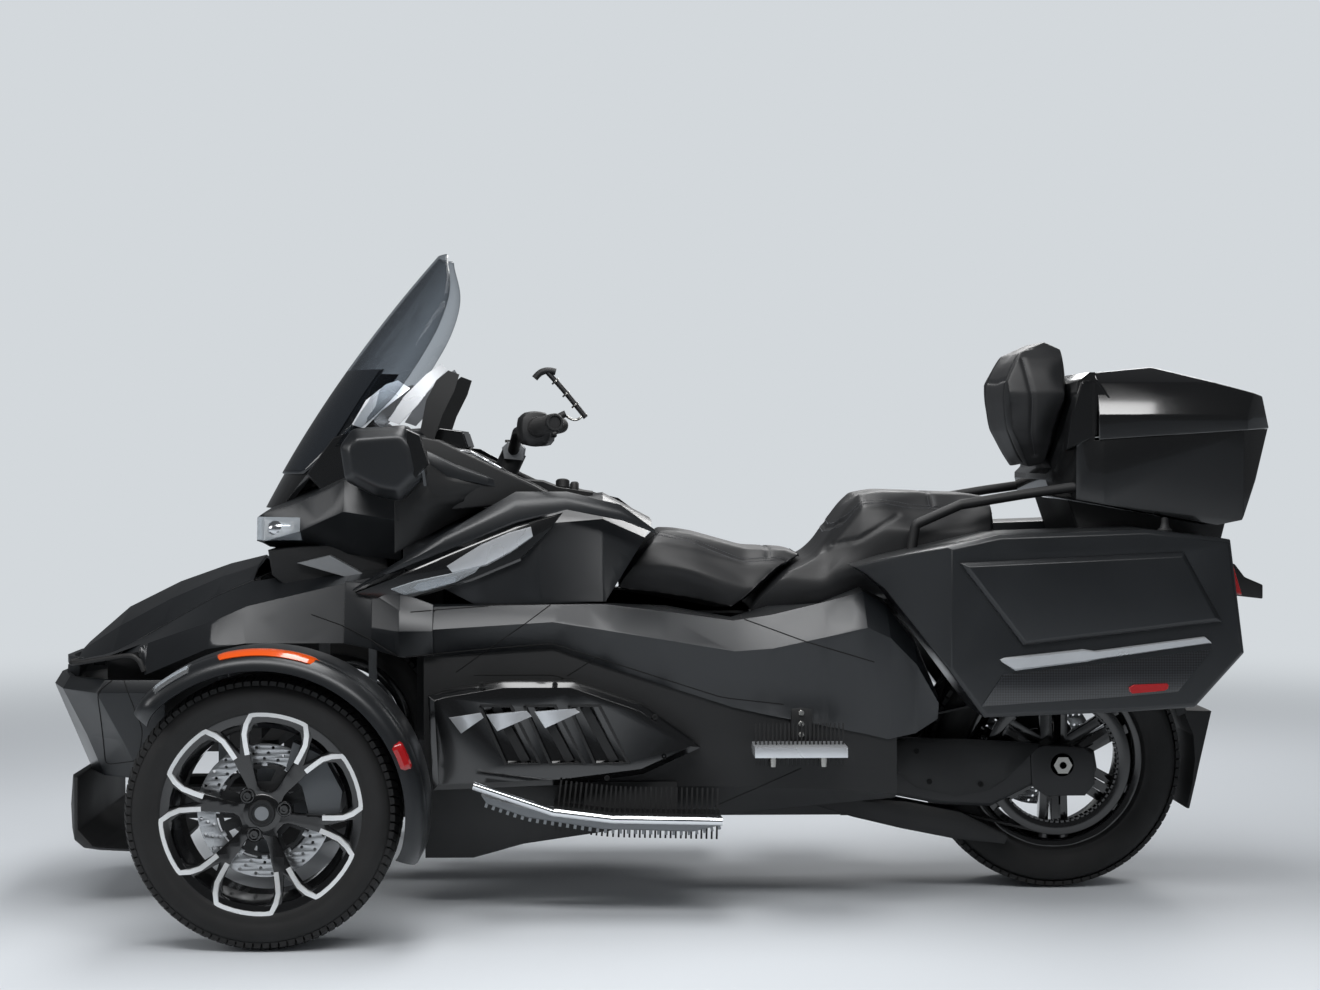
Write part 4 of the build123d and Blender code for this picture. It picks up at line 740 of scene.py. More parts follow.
def round_edges(shell, edges, radius):
    """Rounds edges of an opened mesh to the mould's radius."""
    bmesh.ops.bevel(
        shell, geom=edges, offset=radius, segments=3, profile=0.5, affect="EDGES", clamp_overlap=True,
        loop_slide=True,
    )


def softened(node, width, material, sharp=14, shortest=2.2, smooth=24):
    """Moulded skin over a CAD panel: flat triangles merged, then each long edge rounded."""
    made = nodes[node].data.copy()
    made.name = node + "_moulded"
    with opened(made) as shell:
        bmesh.ops.remove_doubles(shell, verts=shell.verts, dist=CAD_MERGE)
        bmesh.ops.dissolve_limit(shell, angle_limit=radians(1.2), verts=shell.verts, edges=shell.edges)
        crisp = [
            edge
            for edge in shell.edges
            if len(edge.link_faces) == 2
            and edge.calc_face_angle(0) > radians(sharp)
            and edge.calc_length() > shortest * width
        ]
        round_edges(shell, crisp, width)
    made.materials.clear()
    made.materials.append(material)
    shaded(made, smooth)
    return placed(made.name, made)


def rounded_over(node, ending, voxel, rounds, inset, material):
    """Even mesh over a CAD shape, with every edge eased round after round, then drawn in by the inset."""
    base = nodes[node].data.copy()
    with opened(base) as shell:
        bmesh.ops.remove_doubles(shell, verts=shell.verts, dist=CAD_MERGE)
    piece = placed(node + ending, base)
    voxels = piece.modifiers.new("voxels", "REMESH")
    voxels.mode = "VOXEL"
    voxels.voxel_size = voxel
    made = as_made(piece)
    piece.modifiers.remove(voxels)
    piece.data = made
    with opened(made) as shell:
        for _ in range(rounds):
            bmesh.ops.smooth_vert(
                shell, verts=shell.verts, factor=0.5, use_axis_x=True, use_axis_y=True, use_axis_z=True
            )
        shell.normal_update()
        for vertex in shell.verts:
            vertex.co -= vertex.normal * inset
    made.materials.clear()
    made.materials.append(material)
    made.shade_smooth()
    return piece


for node, radius, bodies_paint in (
    ("nose", 0.004, graphite_paint), ("chin", 0.004, black_abs), ("front_flanks", 0.0016, graphite_paint),
    ("headlight_cowl", 0.005, graphite_paint),
    ("tank_cover", 0.005, graphite_paint), ("side_fairings", 0.006, graphite_paint),
    ("side_skirts", 0.004, black_abs), ("vent_panels", 0.003, gloss_black),
    ("side_cases", 0.008, graphite_paint),
    ("side_case_lid_left", 0.0025, graphite_paint), ("side_case_lid_right", 0.0025, graphite_paint),
    ("top_case", 0.008, gloss_black), ("top_case_lid", 0.008, gloss_black),
    ("trunk_lid", 0.004, graphite_paint),
    ("windshield_base", 0.004, gloss_black), ("dash", 0.004, black_abs), ("tail_bracket", 0.003, black_abs),
    ("rear_mudguard", 0.004, black_abs), ("swing_arm", 0.006, powder_coat), ("engine", 0.005, powder_coat),
):
    panel = softened(node, radius, bodies_paint)
    fit_on(panel, body_of(nodes[node])[0], [node])
# Mirror housings are rounded all over, as blow-moulded shells are
mirror_shells = rounded_over("mirrors", "_moulded", 0.004, 14, -0.001, graphite_paint)
fit_on(mirror_shells, "chassis", ["mirrors"])

# Front fenders: moulded arcs over the front wheels that turn with them, painted like the bodywork. Each has a
# rolled outer edge, a clear position lamp at its front, an amber marker on top and a red strip at its back.
TIP_LEAN = 0.028
TIP_DROP = 0.007
# Sections are (y, radius from the axle), round the outline
FENDER_SECTION = [
    (0.5455, 0.3205), (0.560, 0.3248), (0.600, 0.3308), (0.650, 0.3334), (0.700, 0.3326), (0.728, 0.3302),
    (0.733, 0.3278), (0.739, 0.3296), (0.752, 0.3262), (0.763, 0.3205), (0.771, 0.3125), (0.7755, 0.3025),
    (0.7765, 0.2915), (0.7705, 0.2905), (0.7695, 0.3000), (0.765, 0.3085), (0.757, 0.3155), (0.745, 0.3205),
    (0.700, 0.3255), (0.650, 0.3262), (0.600, 0.3240), (0.560, 0.3185), (0.5455, 0.3165),
]
LAMP_SECTION = [
    (0.7285, 0.3315), (0.742, 0.3312), (0.757, 0.3262), (0.768, 0.3182), (0.764, 0.3148), (0.730, 0.3262),
]
REFLECTOR_SECTION = [(0.737, 0.3300), (0.748, 0.3285), (0.756, 0.3245), (0.752, 0.3225), (0.738, 0.3275)]
MARKER_SECTION = [
    (0.724, 0.3318), (0.738, 0.3322), (0.756, 0.3278), (0.7655, 0.3215), (0.762, 0.3175), (0.728, 0.3262),
]
STRIP_SECTION = [
    (0.760, 0.3212), (0.7735, 0.3178), (0.7782, 0.3075), (0.7765, 0.2985), (0.768, 0.2985), (0.760, 0.312),
]


def arc_shell(name, section, start, stop, steps, taper, material):
    """Shell swept round the front axle between two angles. Its ends lean in and dip over the taper angle."""
    rings = []
    for i in range(steps + 1):
        angle = start + (stop - start) * i / steps
        near = min(angle - start, stop - angle)
        close = max(0.0, 1 - near / taper) ** 2
        ring = []
        for y, r in section:
            x, z = polar(r - TIP_DROP * close, angle)
            lean = TIP_LEAN * close * max(0.0, (y - 0.70) / 0.0765)
            ring.append((front_axle[0] + x, y - lean, front_axle[2] + z))
        rings.append(ring)
    return lofted(name, rings, material, 34)


# Dyed acrylic: deep colour under a clear skin
amber_lens = finish(
    "amber_acrylic_lens", ("#c8430c", "#d8560f"), (0.12, 0.18), 0.004, 0.0001, Coat_Weight=0.6
)
red_lens = finish("red_acrylic_lens", ("#8a0d10", "#a01216"), (0.12, 0.18), 0.004, 0.0001, Coat_Weight=0.6)
# Vacuum-metallised plastic behind a lens: a bright, slightly wavy mirror
lamp_silver = finish(
    "vacuum_metallised_reflector", ("#c9ccd0", "#dadde0"), (0.12, 0.2), 0.002, 0.0002, metal=1.0
)
fender_parts = (
    # name, section, first and last angle, steps, taper angle, finish
    ("fender_shell", FENDER_SECTION, 39.0, 198.5, 96, 9.0, graphite_paint),
    ("position_reflector", REFLECTOR_SECTION, 48.5, 67.0, 14, 3.0, lamp_silver),
    ("amber_marker", MARKER_SECTION, 72.5, 113.0, 36, 6.0, amber_lens),
    ("red_strip", STRIP_SECTION, 150.0, 164.0, 14, 3.0, red_lens),
    ("position_lens", LAMP_SECTION, 47.0, 68.5, 18, 5.0, clear_lens),
)
fender = join([arc_shell(*part) for part in fender_parts], "fender_left_moulded")
fit_pair(fender, "knuckle_left", ["fender_left"])

# Seats and backrest: polyurethane foam under leather-grain vinyl, sewn from panels and stretched over a pan.
# The foam pushes the cover outwards between its seams, which a short cloth simulation gives.
PUFF = 0.009
PUFF_FRAMES = 20
CREASE_ROUNDS = 30
SEAM_STEP = 0.004
STITCH_PITCH = 0.0062
STITCH_OFFSET = 0.006
STITCH_LIFT = 0.0002


def upholstered(node, inset, voxel):
    """Foam pad in the space of a CAD seat: drawn in, then blown up as cloth, by PUFF at most."""
    pad = rounded_over(node, "_upholstered", voxel, 7, inset, seat_vinyl)
    made = pad.data
    start = [vertex.co.copy() for vertex in made.vertices]
    cover = pad.modifiers.new("cover", "CLOTH")
    cover.settings.use_pressure = True
    cover.settings.uniform_pressure_force = 4
    cover.settings.tension_stiffness = 40
    cover.settings.compression_stiffness = 40
    cover.settings.bending_stiffness = 8
    cover.settings.effector_weights.gravity = 0
    cover.point_cache.frame_start = 1
    cover.point_cache.frame_end = PUFF_FRAMES
    for step in range(1, PUFF_FRAMES + 1):
        scene.frame_set(step)
    blown = pad.evaluated_get(bpy.context.evaluated_depsgraph_get()).data
    reached = [vertex.co.copy() for vertex in blown.vertices]
    pad.modifiers.remove(cover)
    scene.frame_set(1)
    moves = []
    for before, after in zip(start, reached):
        move = after - before
        moves.append(move * min(1.0, PUFF / max(move.length, 1e-9)))
    # Foam under the vinyl evens out creases smaller than a hand
    beside = [[] for _ in start]
    for edge in made.edges:
        one, other = edge.vertices
        beside[one].append(other)
        beside[other].append(one)
    for _ in range(CREASE_ROUNDS):
        moves = [
            (
                move + sum((moves[i] for i in near), Vector()) / len(near)
            ) / 2 for move, near in zip(moves, beside)
        ]
    for vertex, before, move in zip(made.vertices, start, moves):
        vertex.co = before + move
    return pad


def skin_of(pad):
    """Search tree over a pad's faces, for dropping seams on it."""
    cover = pad.data
    return BVHTree.FromPolygons(
        [vertex.co for vertex in cover.vertices], [face.vertices for face in cover.polygons]
    )


def on_surface(skin, points, direction, lift=0.0):
    """Drops points on a pad along a direction, and stands them off the surface by the lift."""
    along = Vector(direction).normalized()
    found = []
    for point in points:
        hit, normal, _, _ = skin.ray_cast(Vector(point) - along, along)
        if hit:
            found.append(hit + normal * lift)
    return found


def dense(points, gap):
    """The same path with points no further apart than the gap, its corners eased."""
    fine = []
    for a, b in zip(points, points[1:]):
        start, stop = Vector(a), Vector(b)
        count = max(1, int((stop - start).length / gap))
        fine += [start.lerp(stop, i / count) for i in range(count)]
    fine.append(Vector(points[-1]))
    for _ in range(6):
        eased = [(a + b * 2 + c) / 4 for a, b, c in zip(fine, fine[1:], fine[2:])]
        fine = [fine[0]] + eased + [fine[-1]]
    return fine


def sewn(pad, seams, depth, width):
    """Pulls the cover in along its seams."""
    places = [point for seam in seams for point in seam]
    near = KDTree(len(places))
    for i, point in enumerate(places):
        near.insert(point, i)
    near.balance()
    cover = pad.data
    cover.update()
    shifts = []
    for vertex in cover.vertices:
        _, _, gap = near.find(vertex.co)
        shifts.append(vertex.normal * (depth * exp(-((gap / width) ** 2))))
    for vertex, shift in zip(cover.vertices, shifts):
        vertex.co -= shift


def drawn_paths(name, paths):
    """Curve data with one run of straight stretches for each path."""
    drawing = bpy.data.curves.new(name, "CURVE")
    drawing.dimensions = "3D"
    for places in paths:
        line = drawing.splines.new("POLY")
        line.points.add(len(places) - 1)
        for point, place in zip(line.points, places):
            point.co = (*place, 1)
    return drawing


def thread_along(tree, given):
    """Stitches at an even spacing along each seam."""
    places = add_node(
        tree, "GeometryNodeCurveToPoints", {"Curve": given["Geometry"], "Length": given["Spacing"]},
        mode="LENGTH",
    )
    return placed_copies(tree, places.outputs["Points"], given["Unit"], places.outputs["Rotation"])


def stitched(name, seams, unit, spacing, material):
    """Units of thread set along each seam, made one mesh."""
    inputs = [("Unit", "Object", unit), ("Spacing", "Float", spacing), ("Finish", "Material", material)]
    return made_by_nodes(name, drawn_paths(name, seams), inputs, thread_along, 60)


def thread_unit(name, length, radius):
    """One stitch: a short spindle of thread along z."""
    rings = []
    for z, r in (
        (-length / 2, radius * 0.4), (-length / 4, radius), (length / 4, radius), (length / 2, radius * 0.4)
    ):
        rings.append([(r * cos(2 * pi * i / 5), r * sin(2 * pi * i / 5), z) for i in range(5)])
    return lofted(name, rings, seat_thread, 60)


def flipped(path):
    """The same path on the other side of the trike."""
    return [(x, -y, z) for x, y, z in path]


def seams_on(skin, paths, direction, lift=0.0):
    """Paths and their mirror images, dropped on a pad."""
    found = []
    for path in paths:
        found.append(on_surface(skin, dense(path, SEAM_STEP), direction, lift))
        found.append(on_surface(skin, dense(flipped(path), SEAM_STEP), flipped([direction])[0], lift))
    return found


def seated(pad, node, threads):
    """Fixes a sewn pad and its thread to the chassis in place of the CAD seat."""
    finest = pad.modifiers.new("finest", "SUBSURF")
    finest.levels = 1
    finest.render_levels = 1
    fit_on(pad, "chassis", [node])
    fit_on(threads, "chassis")


# Bonded polyester thread: slightly paler than the vinyl and a little shiny
seat_thread = finish(
    "bonded_polyester_thread", ("#3a3c3f", "#4a4c50"), (0.4, 0.5), 0.0006, 0.0001, patch=0.01
)
rider_pad = upholstered("rider_seat", 0.008, 0.006)
passenger_pad = upholstered("passenger_seat", 0.008, 0.0062)
back_pad = upholstered("backrest", 0.007, 0.0045)
# Seams are drawn 1.5 m up, 0.9 m out or 1.5 m ahead, and dropped on the pad from there
down = (0, 0, -1)
inwards = (0, -1, 0)
backwards = (-1, 0, 0)
stitch = thread_unit("stitch_unit", 0.0042, 0.0007)
for pad, node, top_paths, side_paths in (
    (
        rider_pad, "rider_seat",
        [
            [
                (-0.300, 0.150, 1.5), (-0.160, 0.158, 1.5), (-0.020, 0.146, 1.5), (0.060, 0.118, 1.5),
                (0.085, 0.0, 1.5),
            ],
            [(-0.240, 0.0, 1.5), (-0.232, 0.148, 1.5)],
        ],
        [[(0.090, 0.9, 0.745), (0.128, 0.9, 0.690)], [(-0.200, 0.9, 0.650), (-0.285, 0.9, 0.745)]],
    ),
    (
        passenger_pad, "passenger_seat",
        [
            [
                (-0.375, 0.0, 1.5), (-0.380, 0.120, 1.5), (-0.400, 0.150, 1.5), (-0.470, 0.160, 1.5),
                (-0.560, 0.165, 1.5), (-0.730, 0.160, 1.5),
            ],
            [(-0.600, 0.0, 1.5), (-0.600, 0.163, 1.5)],
        ],
        [[(-0.375, 0.9, 0.790), (-0.430, 0.9, 0.800), (-0.520, 0.9, 0.855)]],
    ),
):
    skin = skin_of(pad)
    sewn(pad, seams_on(skin, top_paths, down) + seams_on(skin, side_paths, inwards), 0.0034, 0.0048)
    rows = []
    for path in top_paths:
        for offset in (-STITCH_OFFSET, STITCH_OFFSET):
            rows.append([(x + offset, y + offset, z) for x, y, z in path])
    beside = seams_on(skin_of(pad), rows, down, STITCH_LIFT)
    seated(pad, node, stitched(node + "_stitches", beside, stitch, STITCH_PITCH, seat_thread))
rear_paths = [
    [(1.5, 0.112, 1.235), (1.5, 0.128, 1.150), (1.5, 0.112, 1.050), (1.5, 0.090, 0.975)],
    [(1.5, 0.0, 1.155), (1.5, 0.126, 1.160)],
]
side_seam = [(-0.806, 0.9, 1.205), (-0.824, 0.9, 1.120), (-0.824, 0.9, 1.040), (-0.836, 0.9, 0.990)]
skin = skin_of(back_pad)
side_seams = seams_on(skin, [side_seam], inwards)
sewn(back_pad, seams_on(skin, rear_paths, backwards) + side_seams, 0.0036, 0.0050)
seated(back_pad, "backrest", stitched("backrest_stitches", side_seams, stitch, STITCH_PITCH, seat_thread))
bpy.data.objects.remove(stitch)

# Side cases: moulded hard cases in satin graphite. Each lid carries a bright trim bar, and under it lie a
# carbon-look panel and a red reflector. Latches and hinges sit inside.


def trim_bar(name, outline, y_in, y_out, crown, material):
    """Moulded block on a convex (x, z) outline, with its outer face pushed out and its rim rounded."""
    middle = sum((Vector(point) for point in outline), Vector((0, 0))) / len(outline)
    rings = []
    for scale, y in ((1.0, y_in), (1.0, y_out - crown), (0.985, y_out - crown * 0.3), (0.95, y_out)):
        grown = [middle + (Vector(point) - middle) * scale for point in outline]
        rings.append([(point.x, y, point.y) for point in grown])
    return lofted(name, rings, material, 30)


def slat(name, ends, depth_in, depth_out, lip, material):
    """Strip between two edges, each a row of (x, z) points, with a raised middle and chamfered edges."""
    rim = depth_out - lip
    rises = ((0.0, depth_in), (0.0, rim), (0.12, depth_out), (0.88, depth_out), (1.0, rim), (1.0, depth_in))
    rings = []
    for (xa, za), (xb, zb) in zip(*ends):
        rings.append([(xa + (xb - xa) * share, y, za + (zb - za) * share) for share, y in rises])
    return lofted(name, rings, material, 30)


# Satin chrome on the trim bars: bright, with a slightly soft reflection
satin_chrome = finish("satin_chrome_plate", ("#c6c9cd", "#d6d9dc"), (0.24, 0.32), 0.004, 0.000004, metal=0.65)
# Printed carbon look: 2 by 2 twill of 4 mm tows under a gloss coat, seen as fine dark diagonals
carbon_weave, carbon_tree, carbon_shader = blank_paint("carbon_look_film", Roughness=0.3, Coat_Weight=0.8)
carbon_place = add_node(carbon_tree, "ShaderNodeTexCoord").outputs["Object"]
turned_place = add_node(
    carbon_tree, "ShaderNodeMapping", {"Vector": carbon_place, "Rotation": (0, radians(45), 0)}
)
tows = add_node(carbon_tree, "ShaderNodeTexChecker", {"Vector": turned_place.outputs[0], "Scale": 250.0})
tow_shades = {0: tows.outputs["Fac"], 6: linear("#0b0c0d"), 7: linear("#24262a")}
tow_shade = add_node(carbon_tree, "ShaderNodeMix", tow_shades, data_type="RGBA")
carbon_tree.links.new(tow_shade.outputs[2], carbon_shader.inputs["Base Color"])
case_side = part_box("side_cases")[1][1]
bar_top = [
    (-0.7030, 0.5560), (-0.7120, 0.5600), (-0.8800, 0.5780), (-0.9050, 0.5740), (-1.1400, 0.6040),
    (-1.1500, 0.5950),
]
bar_bottom = [
    (-0.7085, 0.5500), (-0.7350, 0.5330), (-0.8900, 0.5520), (-0.9150, 0.5570), (-1.1480, 0.5900),
    (-1.1540, 0.5900),
]
panel_top = [(-0.7100, 0.5240), (-0.8000, 0.5330), (-0.9500, 0.5500), (-1.1560, 0.5760)]
panel_bottom = [(-0.6650, 0.4560), (-0.7800, 0.4640), (-0.9400, 0.4740), (-1.0850, 0.4860)]
reflector_outline = [
    (-0.9780, 0.4960), (-0.9800, 0.4870), (-0.9850, 0.4830), (-1.0550, 0.4890), (-1.0620, 0.4930),
    (-1.0640, 0.5010), (-1.0600, 0.5050), (-0.9880, 0.5020),
]
case_trim = [
    slat("case_trim_bar", (bar_top, bar_bottom), case_side - 0.006, case_side + 0.012, 0.004, satin_chrome),
    slat(
        "case_carbon_panel", (panel_top, panel_bottom), case_side - 0.004, case_side + 0.003, 0.002,
        carbon_weave,
    ),
    trim_bar("case_reflector", reflector_outline, case_side, case_side + 0.009, 0.004, red_lens),
]
fit_pair(join(case_trim, "side_case_trim_left"), "chassis")

# Top case: gloss-painted lid over a textured tub. The wings beside the backrest and the chamfered edges of
# the lid come from the mould. Each wing has a raised edge.
top_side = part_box("top_case")[1][1]
wing = trim_bar(
    "top_case_wing",
    [
        (-0.8900, 1.0700), (-0.9130, 1.1500), (-0.9500, 1.1560), (-0.9780, 1.1180), (-0.9650, 1.0400),
        (-0.8800, 1.0000),
    ],
    top_side - 0.070, top_side - 0.012, 0.012, gloss_black,
)
wing_edge = stripe(
    "top_case_wing_edge", [(-0.915, 1.150), (-0.945, 1.154), (-0.972, 1.118), (-0.962, 1.045)], 0.005,
    top_side - 0.0135, top_side - 0.0095, (0, 0, 0), gloss_black,
)
fit_pair(join([wing, wing_edge], "top_case_wing_left"), "chassis")

# Antenna stub: a small moulded base with a rubber cap, screwed to the shell behind the left side case. It is
# the foot that is left when the whip is taken off.


def set_at(piece, place, degrees, axis="X"):
    """Turns a piece that was made at the origin, and moves it to its place."""
    piece.data.transform(Matrix.Translation(place) @ Matrix.Rotation(radians(degrees), 4, axis))
    return piece


antenna = turned(
    "antenna_stub",
    [
        (0.0, 0.0), (0.016, 0.0), (0.0165, 0.004), (0.0105, 0.009), (0.008, 0.020), (0.007, 0.030),
        (0.0, 0.0325),
    ],
    (0.0, 0.0, 0.0), 24, black_abs,
)
fit_on(set_at(antenna, (-1.085, 0.33, 0.823), 90), "chassis")

# Windshield: a sheet of lightly smoked polycarbonate, bent both ways and polished at its edge. Two bright
# blades and a black deflector guide the air at its foot.


def clear_sheet(name, body, roughness, through, edge_blend, share):
    """Thin clear plastic. The share is how much of its glossy body shows face-on, and edge-on."""
    sheet, tree, shader = blank_paint(name, Base_Color=linear(body), Roughness=roughness, IOR=1.58)
    clear = add_node(tree, "ShaderNodeBsdfTransparent", {"Color": linear(through)})
    edge_on = add_node(tree, "ShaderNodeLayerWeight", {"Blend": edge_blend}).outputs["Facing"]
    shown = add_node(
        tree,
        "ShaderNodeMapRange",
        {"Value": edge_on, "From Min": 0.0, "From Max": 1.0, "To Min": share[0], "To Max": share[1]},
    )
    mix = add_node(
        tree, "ShaderNodeMixShader", {0: shown.outputs[0], 1: clear.outputs[0], 2: shader.outputs[0]}
    )
    tree.links.new(mix.outputs[0], tree.nodes["Material Output"].inputs["Surface"])
    return sheet, shown, mix


# Thin smoked sheet: seen through, darker and glossier where it is seen edge-on
shield_tint, shield_shown, shield_mix = clear_sheet(
    "smoked_polycarbonate", "#1b1e22", 0.05, "#e3e6e9", 0.45, (0.07, 0.6)
)
# The lower middle of the sheet is printed black on its inside
PRINT_TOP = 1.18
PRINT_HALF_WIDTH = 0.19
shield_tree = shield_tint.node_tree
shield_object = add_node(shield_tree, "ShaderNodeTexCoord").outputs["Object"]
shield_place = add_node(shield_tree, "ShaderNodeSeparateXYZ", {0: shield_object}).outputs
sideways = add_node(shield_tree, "ShaderNodeMath", {0: shield_place["Y"]}, operation="ABSOLUTE").outputs[0]
below = add_node(shield_tree, "ShaderNodeMath", {0: shield_place["Z"], 1: PRINT_TOP}, operation="LESS_THAN")
beside = add_node(shield_tree, "ShaderNodeMath", {0: sideways, 1: PRINT_HALF_WIDTH}, operation="LESS_THAN")
printed = add_node(
    shield_tree, "ShaderNodeMath", {0: below.outputs[0], 1: beside.outputs[0]}, operation="MULTIPLY"
)
covered = add_node(
    shield_tree, "ShaderNodeMath", {0: printed.outputs[0], 1: shield_shown.outputs[0]}, operation="MAXIMUM"
)
shield_tree.links.new(covered.outputs[0], shield_mix.inputs[0])
SHIELD_EDGE = [
    # height, and half the sheet's width there
    (0.948, 0.167), (1.002, 0.200), (1.060, 0.221), (1.120, 0.230), (1.190, 0.2295), (1.262, 0.226),
    (1.312, 0.218),
    (1.358, 0.204), (1.391, 0.182), (1.418, 0.150), (1.442, 0.110),
]
SHIELD_BEND = 0.2406
SHIELD_COLUMNS = 24
shield_rows = dense([(0.0, half, z) for z, half in SHIELD_EDGE], 0.012)
shield_points = []
for _, half, z in shield_rows:
    middle = 0.862 - 0.6964 * (z - 0.948) + 0.026 * (1 - ((z - 1.156) / 0.286) ** 2)
    for i in range(SHIELD_COLUMNS + 1):
        y = half * (2 * i / SHIELD_COLUMNS - 1)
        shield_points.append((middle - SHIELD_BEND + (SHIELD_BEND**2 - y**2) ** 0.5, y, z))
shield_faces = []
for row in range(len(shield_rows) - 1):
    for i in range(SHIELD_COLUMNS):
        a = row * (SHIELD_COLUMNS + 1) + i
        shield_faces.append((a, a + 1, a + SHIELD_COLUMNS + 2, a + SHIELD_COLUMNS + 1))
shield = mesh_piece("windshield_sheet", shield_points, shield_faces, shield_tint, 40)
sheet_thickness = shield.modifiers.new("thickness", "SOLIDIFY")
sheet_thickness.thickness = 0.005
sheet_thickness.offset = -1.0
fit_on(shield, "chassis", ["windshield"])


def blade(name, rows, thickness, material):
    """Thin curved blade through pairs of points, on its front and its rear edge."""
    rings = []
    for front, rear in rows:
        inner = [(x, y - thickness, z) for x, y, z in (rear, front)]
        rings.append([front, rear] + inner)
    return lofted(name, rings, material, 40)


BLADES = (
    # name, finish and distance from the middle, then front and rear edge (x, z) from the bottom up
    (
        "windshield_blade_low", satin_chrome, 0.205,
        [
            ((0.695, 1.0572), (0.6672, 1.0482)),
            ((0.6639, 1.1105), (0.6273, 1.0881)),
            ((0.6195, 1.1461), (0.5874, 1.1192)),
            ((0.5929, 1.155), (0.5652, 1.1369)),
        ],
    ),
    (
        "windshield_blade_high", satin_chrome, 0.225,
        [
            ((0.6133, 1.0659), (0.5879, 1.0569)),
            ((0.5779, 1.119), (0.546, 1.1011)),
            ((0.5292, 1.1677), (0.5062, 1.1541)),
            ((0.4938, 1.192), (0.4842, 1.1762)),
        ],
    ),
    (
        "windshield_deflector", black_abs, 0.245,
        [
            ((0.5409, 1.0437), (0.5136, 1.0128)),
            ((0.5277, 1.1098), (0.4917, 1.0788)),
            ((0.5057, 1.1539), (0.4653, 1.1315)),
            ((0.4792, 1.1759), (0.4543, 1.1667)),
        ],
    ),
)
blades = []
for name, material, y, rows in BLADES:
    places = [((xa, y, za), (xb, y + 0.012, zb)) for (xa, za), (xb, zb) in rows]
    blades.append(blade(name, places, 0.006, material))
fit_pair(join(blades, "windshield_blades_left"), "chassis")

# Headlamps: on each side of the cowl, a moulded clear lens over two projector bowls. The bowls are vacuum-
# metallised plastic, screwed in behind the lens.
# Clear moulded lens: only its reflections and a faint grey body show
lens_glass = clear_sheet("clear_polycarbonate_lens", "#cfd6dc", 0.03, "#dfe4e8", 0.35, (0.28, 0.85))[0]
lens = softened("headlamps", 0.002, lens_glass, sharp=20, shortest=1.6)
lamp_low, lamp_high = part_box("headlamps")
projectors = []
for side in (1, -1):
    for across in (0.185, 0.235):
        bowl = turned(
            "projector",
            [(0.0, 0.030), (0.012, 0.028), (0.0185, 0.020), (0.0205, 0.006), (0.0205, -0.020), (0.0, -0.020)],
            (0.0, 0.0, 0.0), 32, lamp_silver,
        )
        place = (lamp_low[0] + 0.045, side * across, (lamp_low[2] + lamp_high[2]) / 2)
        projectors.append(set_at(bowl, place, -90, "Z"))
fit_on(join([lens] + projectors, "headlamps_lensed"), "chassis", ["headlamps"])

# Mirrors: blow-moulded shells on the cowl's shoulders. Each has a black band round its back and a silvered,
# flat glass that is clipped into the side towards the rider.
mirror_glass = finish(
    "silvered_mirror_glass", ("#c4c8cc", "#d2d6da"), (0.01, 0.02), 0.01, 0.000005, metal=1.0
)
band_outline = [(0.5558, 1.0468), (0.5282, 1.0341), (0.5092, 0.9726), (0.5346, 0.9408), (0.5558, 0.9641)]
mirror_band = trim_bar("mirror_band", band_outline, 0.395, 0.4385, 0.006, gloss_black)
GLASS_THICKNESS = 0.006
glass_front = [(0.520, 0.365, 0.925), (0.520, 0.425, 0.925), (0.533, 0.425, 1.020), (0.533, 0.365, 1.020)]
glass_back = [(x - GLASS_THICKNESS, y, z) for x, y, z in glass_front]
glass = lofted("mirror_glass", [glass_front, glass_back], mirror_glass)
fit_pair(join([mirror_band, glass], "mirror_trim_left"), "chassis")

# Upper side panels: a satin blade over a gloss black strip, with the bright vent plate and the light strip
# set in below it. They clip over the flank, the tank cover and the fairing on each side.


def side_panel(name, top, bottom, depth, thickness, material, lip=0.003):
    """Clip-on panel between an upper and a lower edge. Both are rows of (x, y, z)."""
    profile = (
        (0.0, -thickness), (0.0, -lip), (0.07, 0.0), (0.5, depth), (0.93, 0.0), (1.0, -lip),
        (1.0, -thickness),
    )
    rings = []
    for high, low in zip(top, bottom):
        spots = [Vector(high).lerp(Vector(low), share) + Vector((0, push, 0)) for share, push in profile]
        rings.append(spots)
    return lofted(name, rings, material, 28)


blade_top = [
    (0.6814, 0.335, 0.701), (0.6159, 0.34, 0.7403), (0.4861, 0.34, 0.8203), (0.3287, 0.325, 0.9109),
    (0.2182, 0.318, 0.9107), (0.1008, 0.315, 0.8824), (0.0265, 0.3, 0.8275),
]
blade_low = [
    (0.6791, 0.336, 0.6968), (0.6069, 0.344, 0.7318), (0.4728, 0.346, 0.786), (0.3282, 0.34, 0.8441),
    (0.218, 0.334, 0.8721), (0.0966, 0.322, 0.8478), (0.0244, 0.302, 0.8188),
]
upper_blade = side_panel("upper_blade", blade_top, blade_low, 0.004, 0.012, graphite_paint)
strip_top = [
    (0.6775, 0.33, 0.6942), (0.5988, 0.338, 0.725), (0.4688, 0.34, 0.7792), (0.3284, 0.336, 0.8375),
    (0.2267, 0.33, 0.8654),
]
strip_low = [
    (0.6169, 0.33, 0.6747), (0.5663, 0.338, 0.6752), (0.4212, 0.341, 0.7187), (0.3175, 0.338, 0.7618),
    (0.257, 0.332, 0.8265),
]
black_strip = side_panel("upper_black_strip", strip_top, strip_low, 0.001, 0.014, gloss_black)
vent_top = [
    (0.4773, 0.343, 0.7512), (0.4037, 0.345, 0.7967), (0.3432, 0.345, 0.8227), (0.2957, 0.344, 0.8356),
]
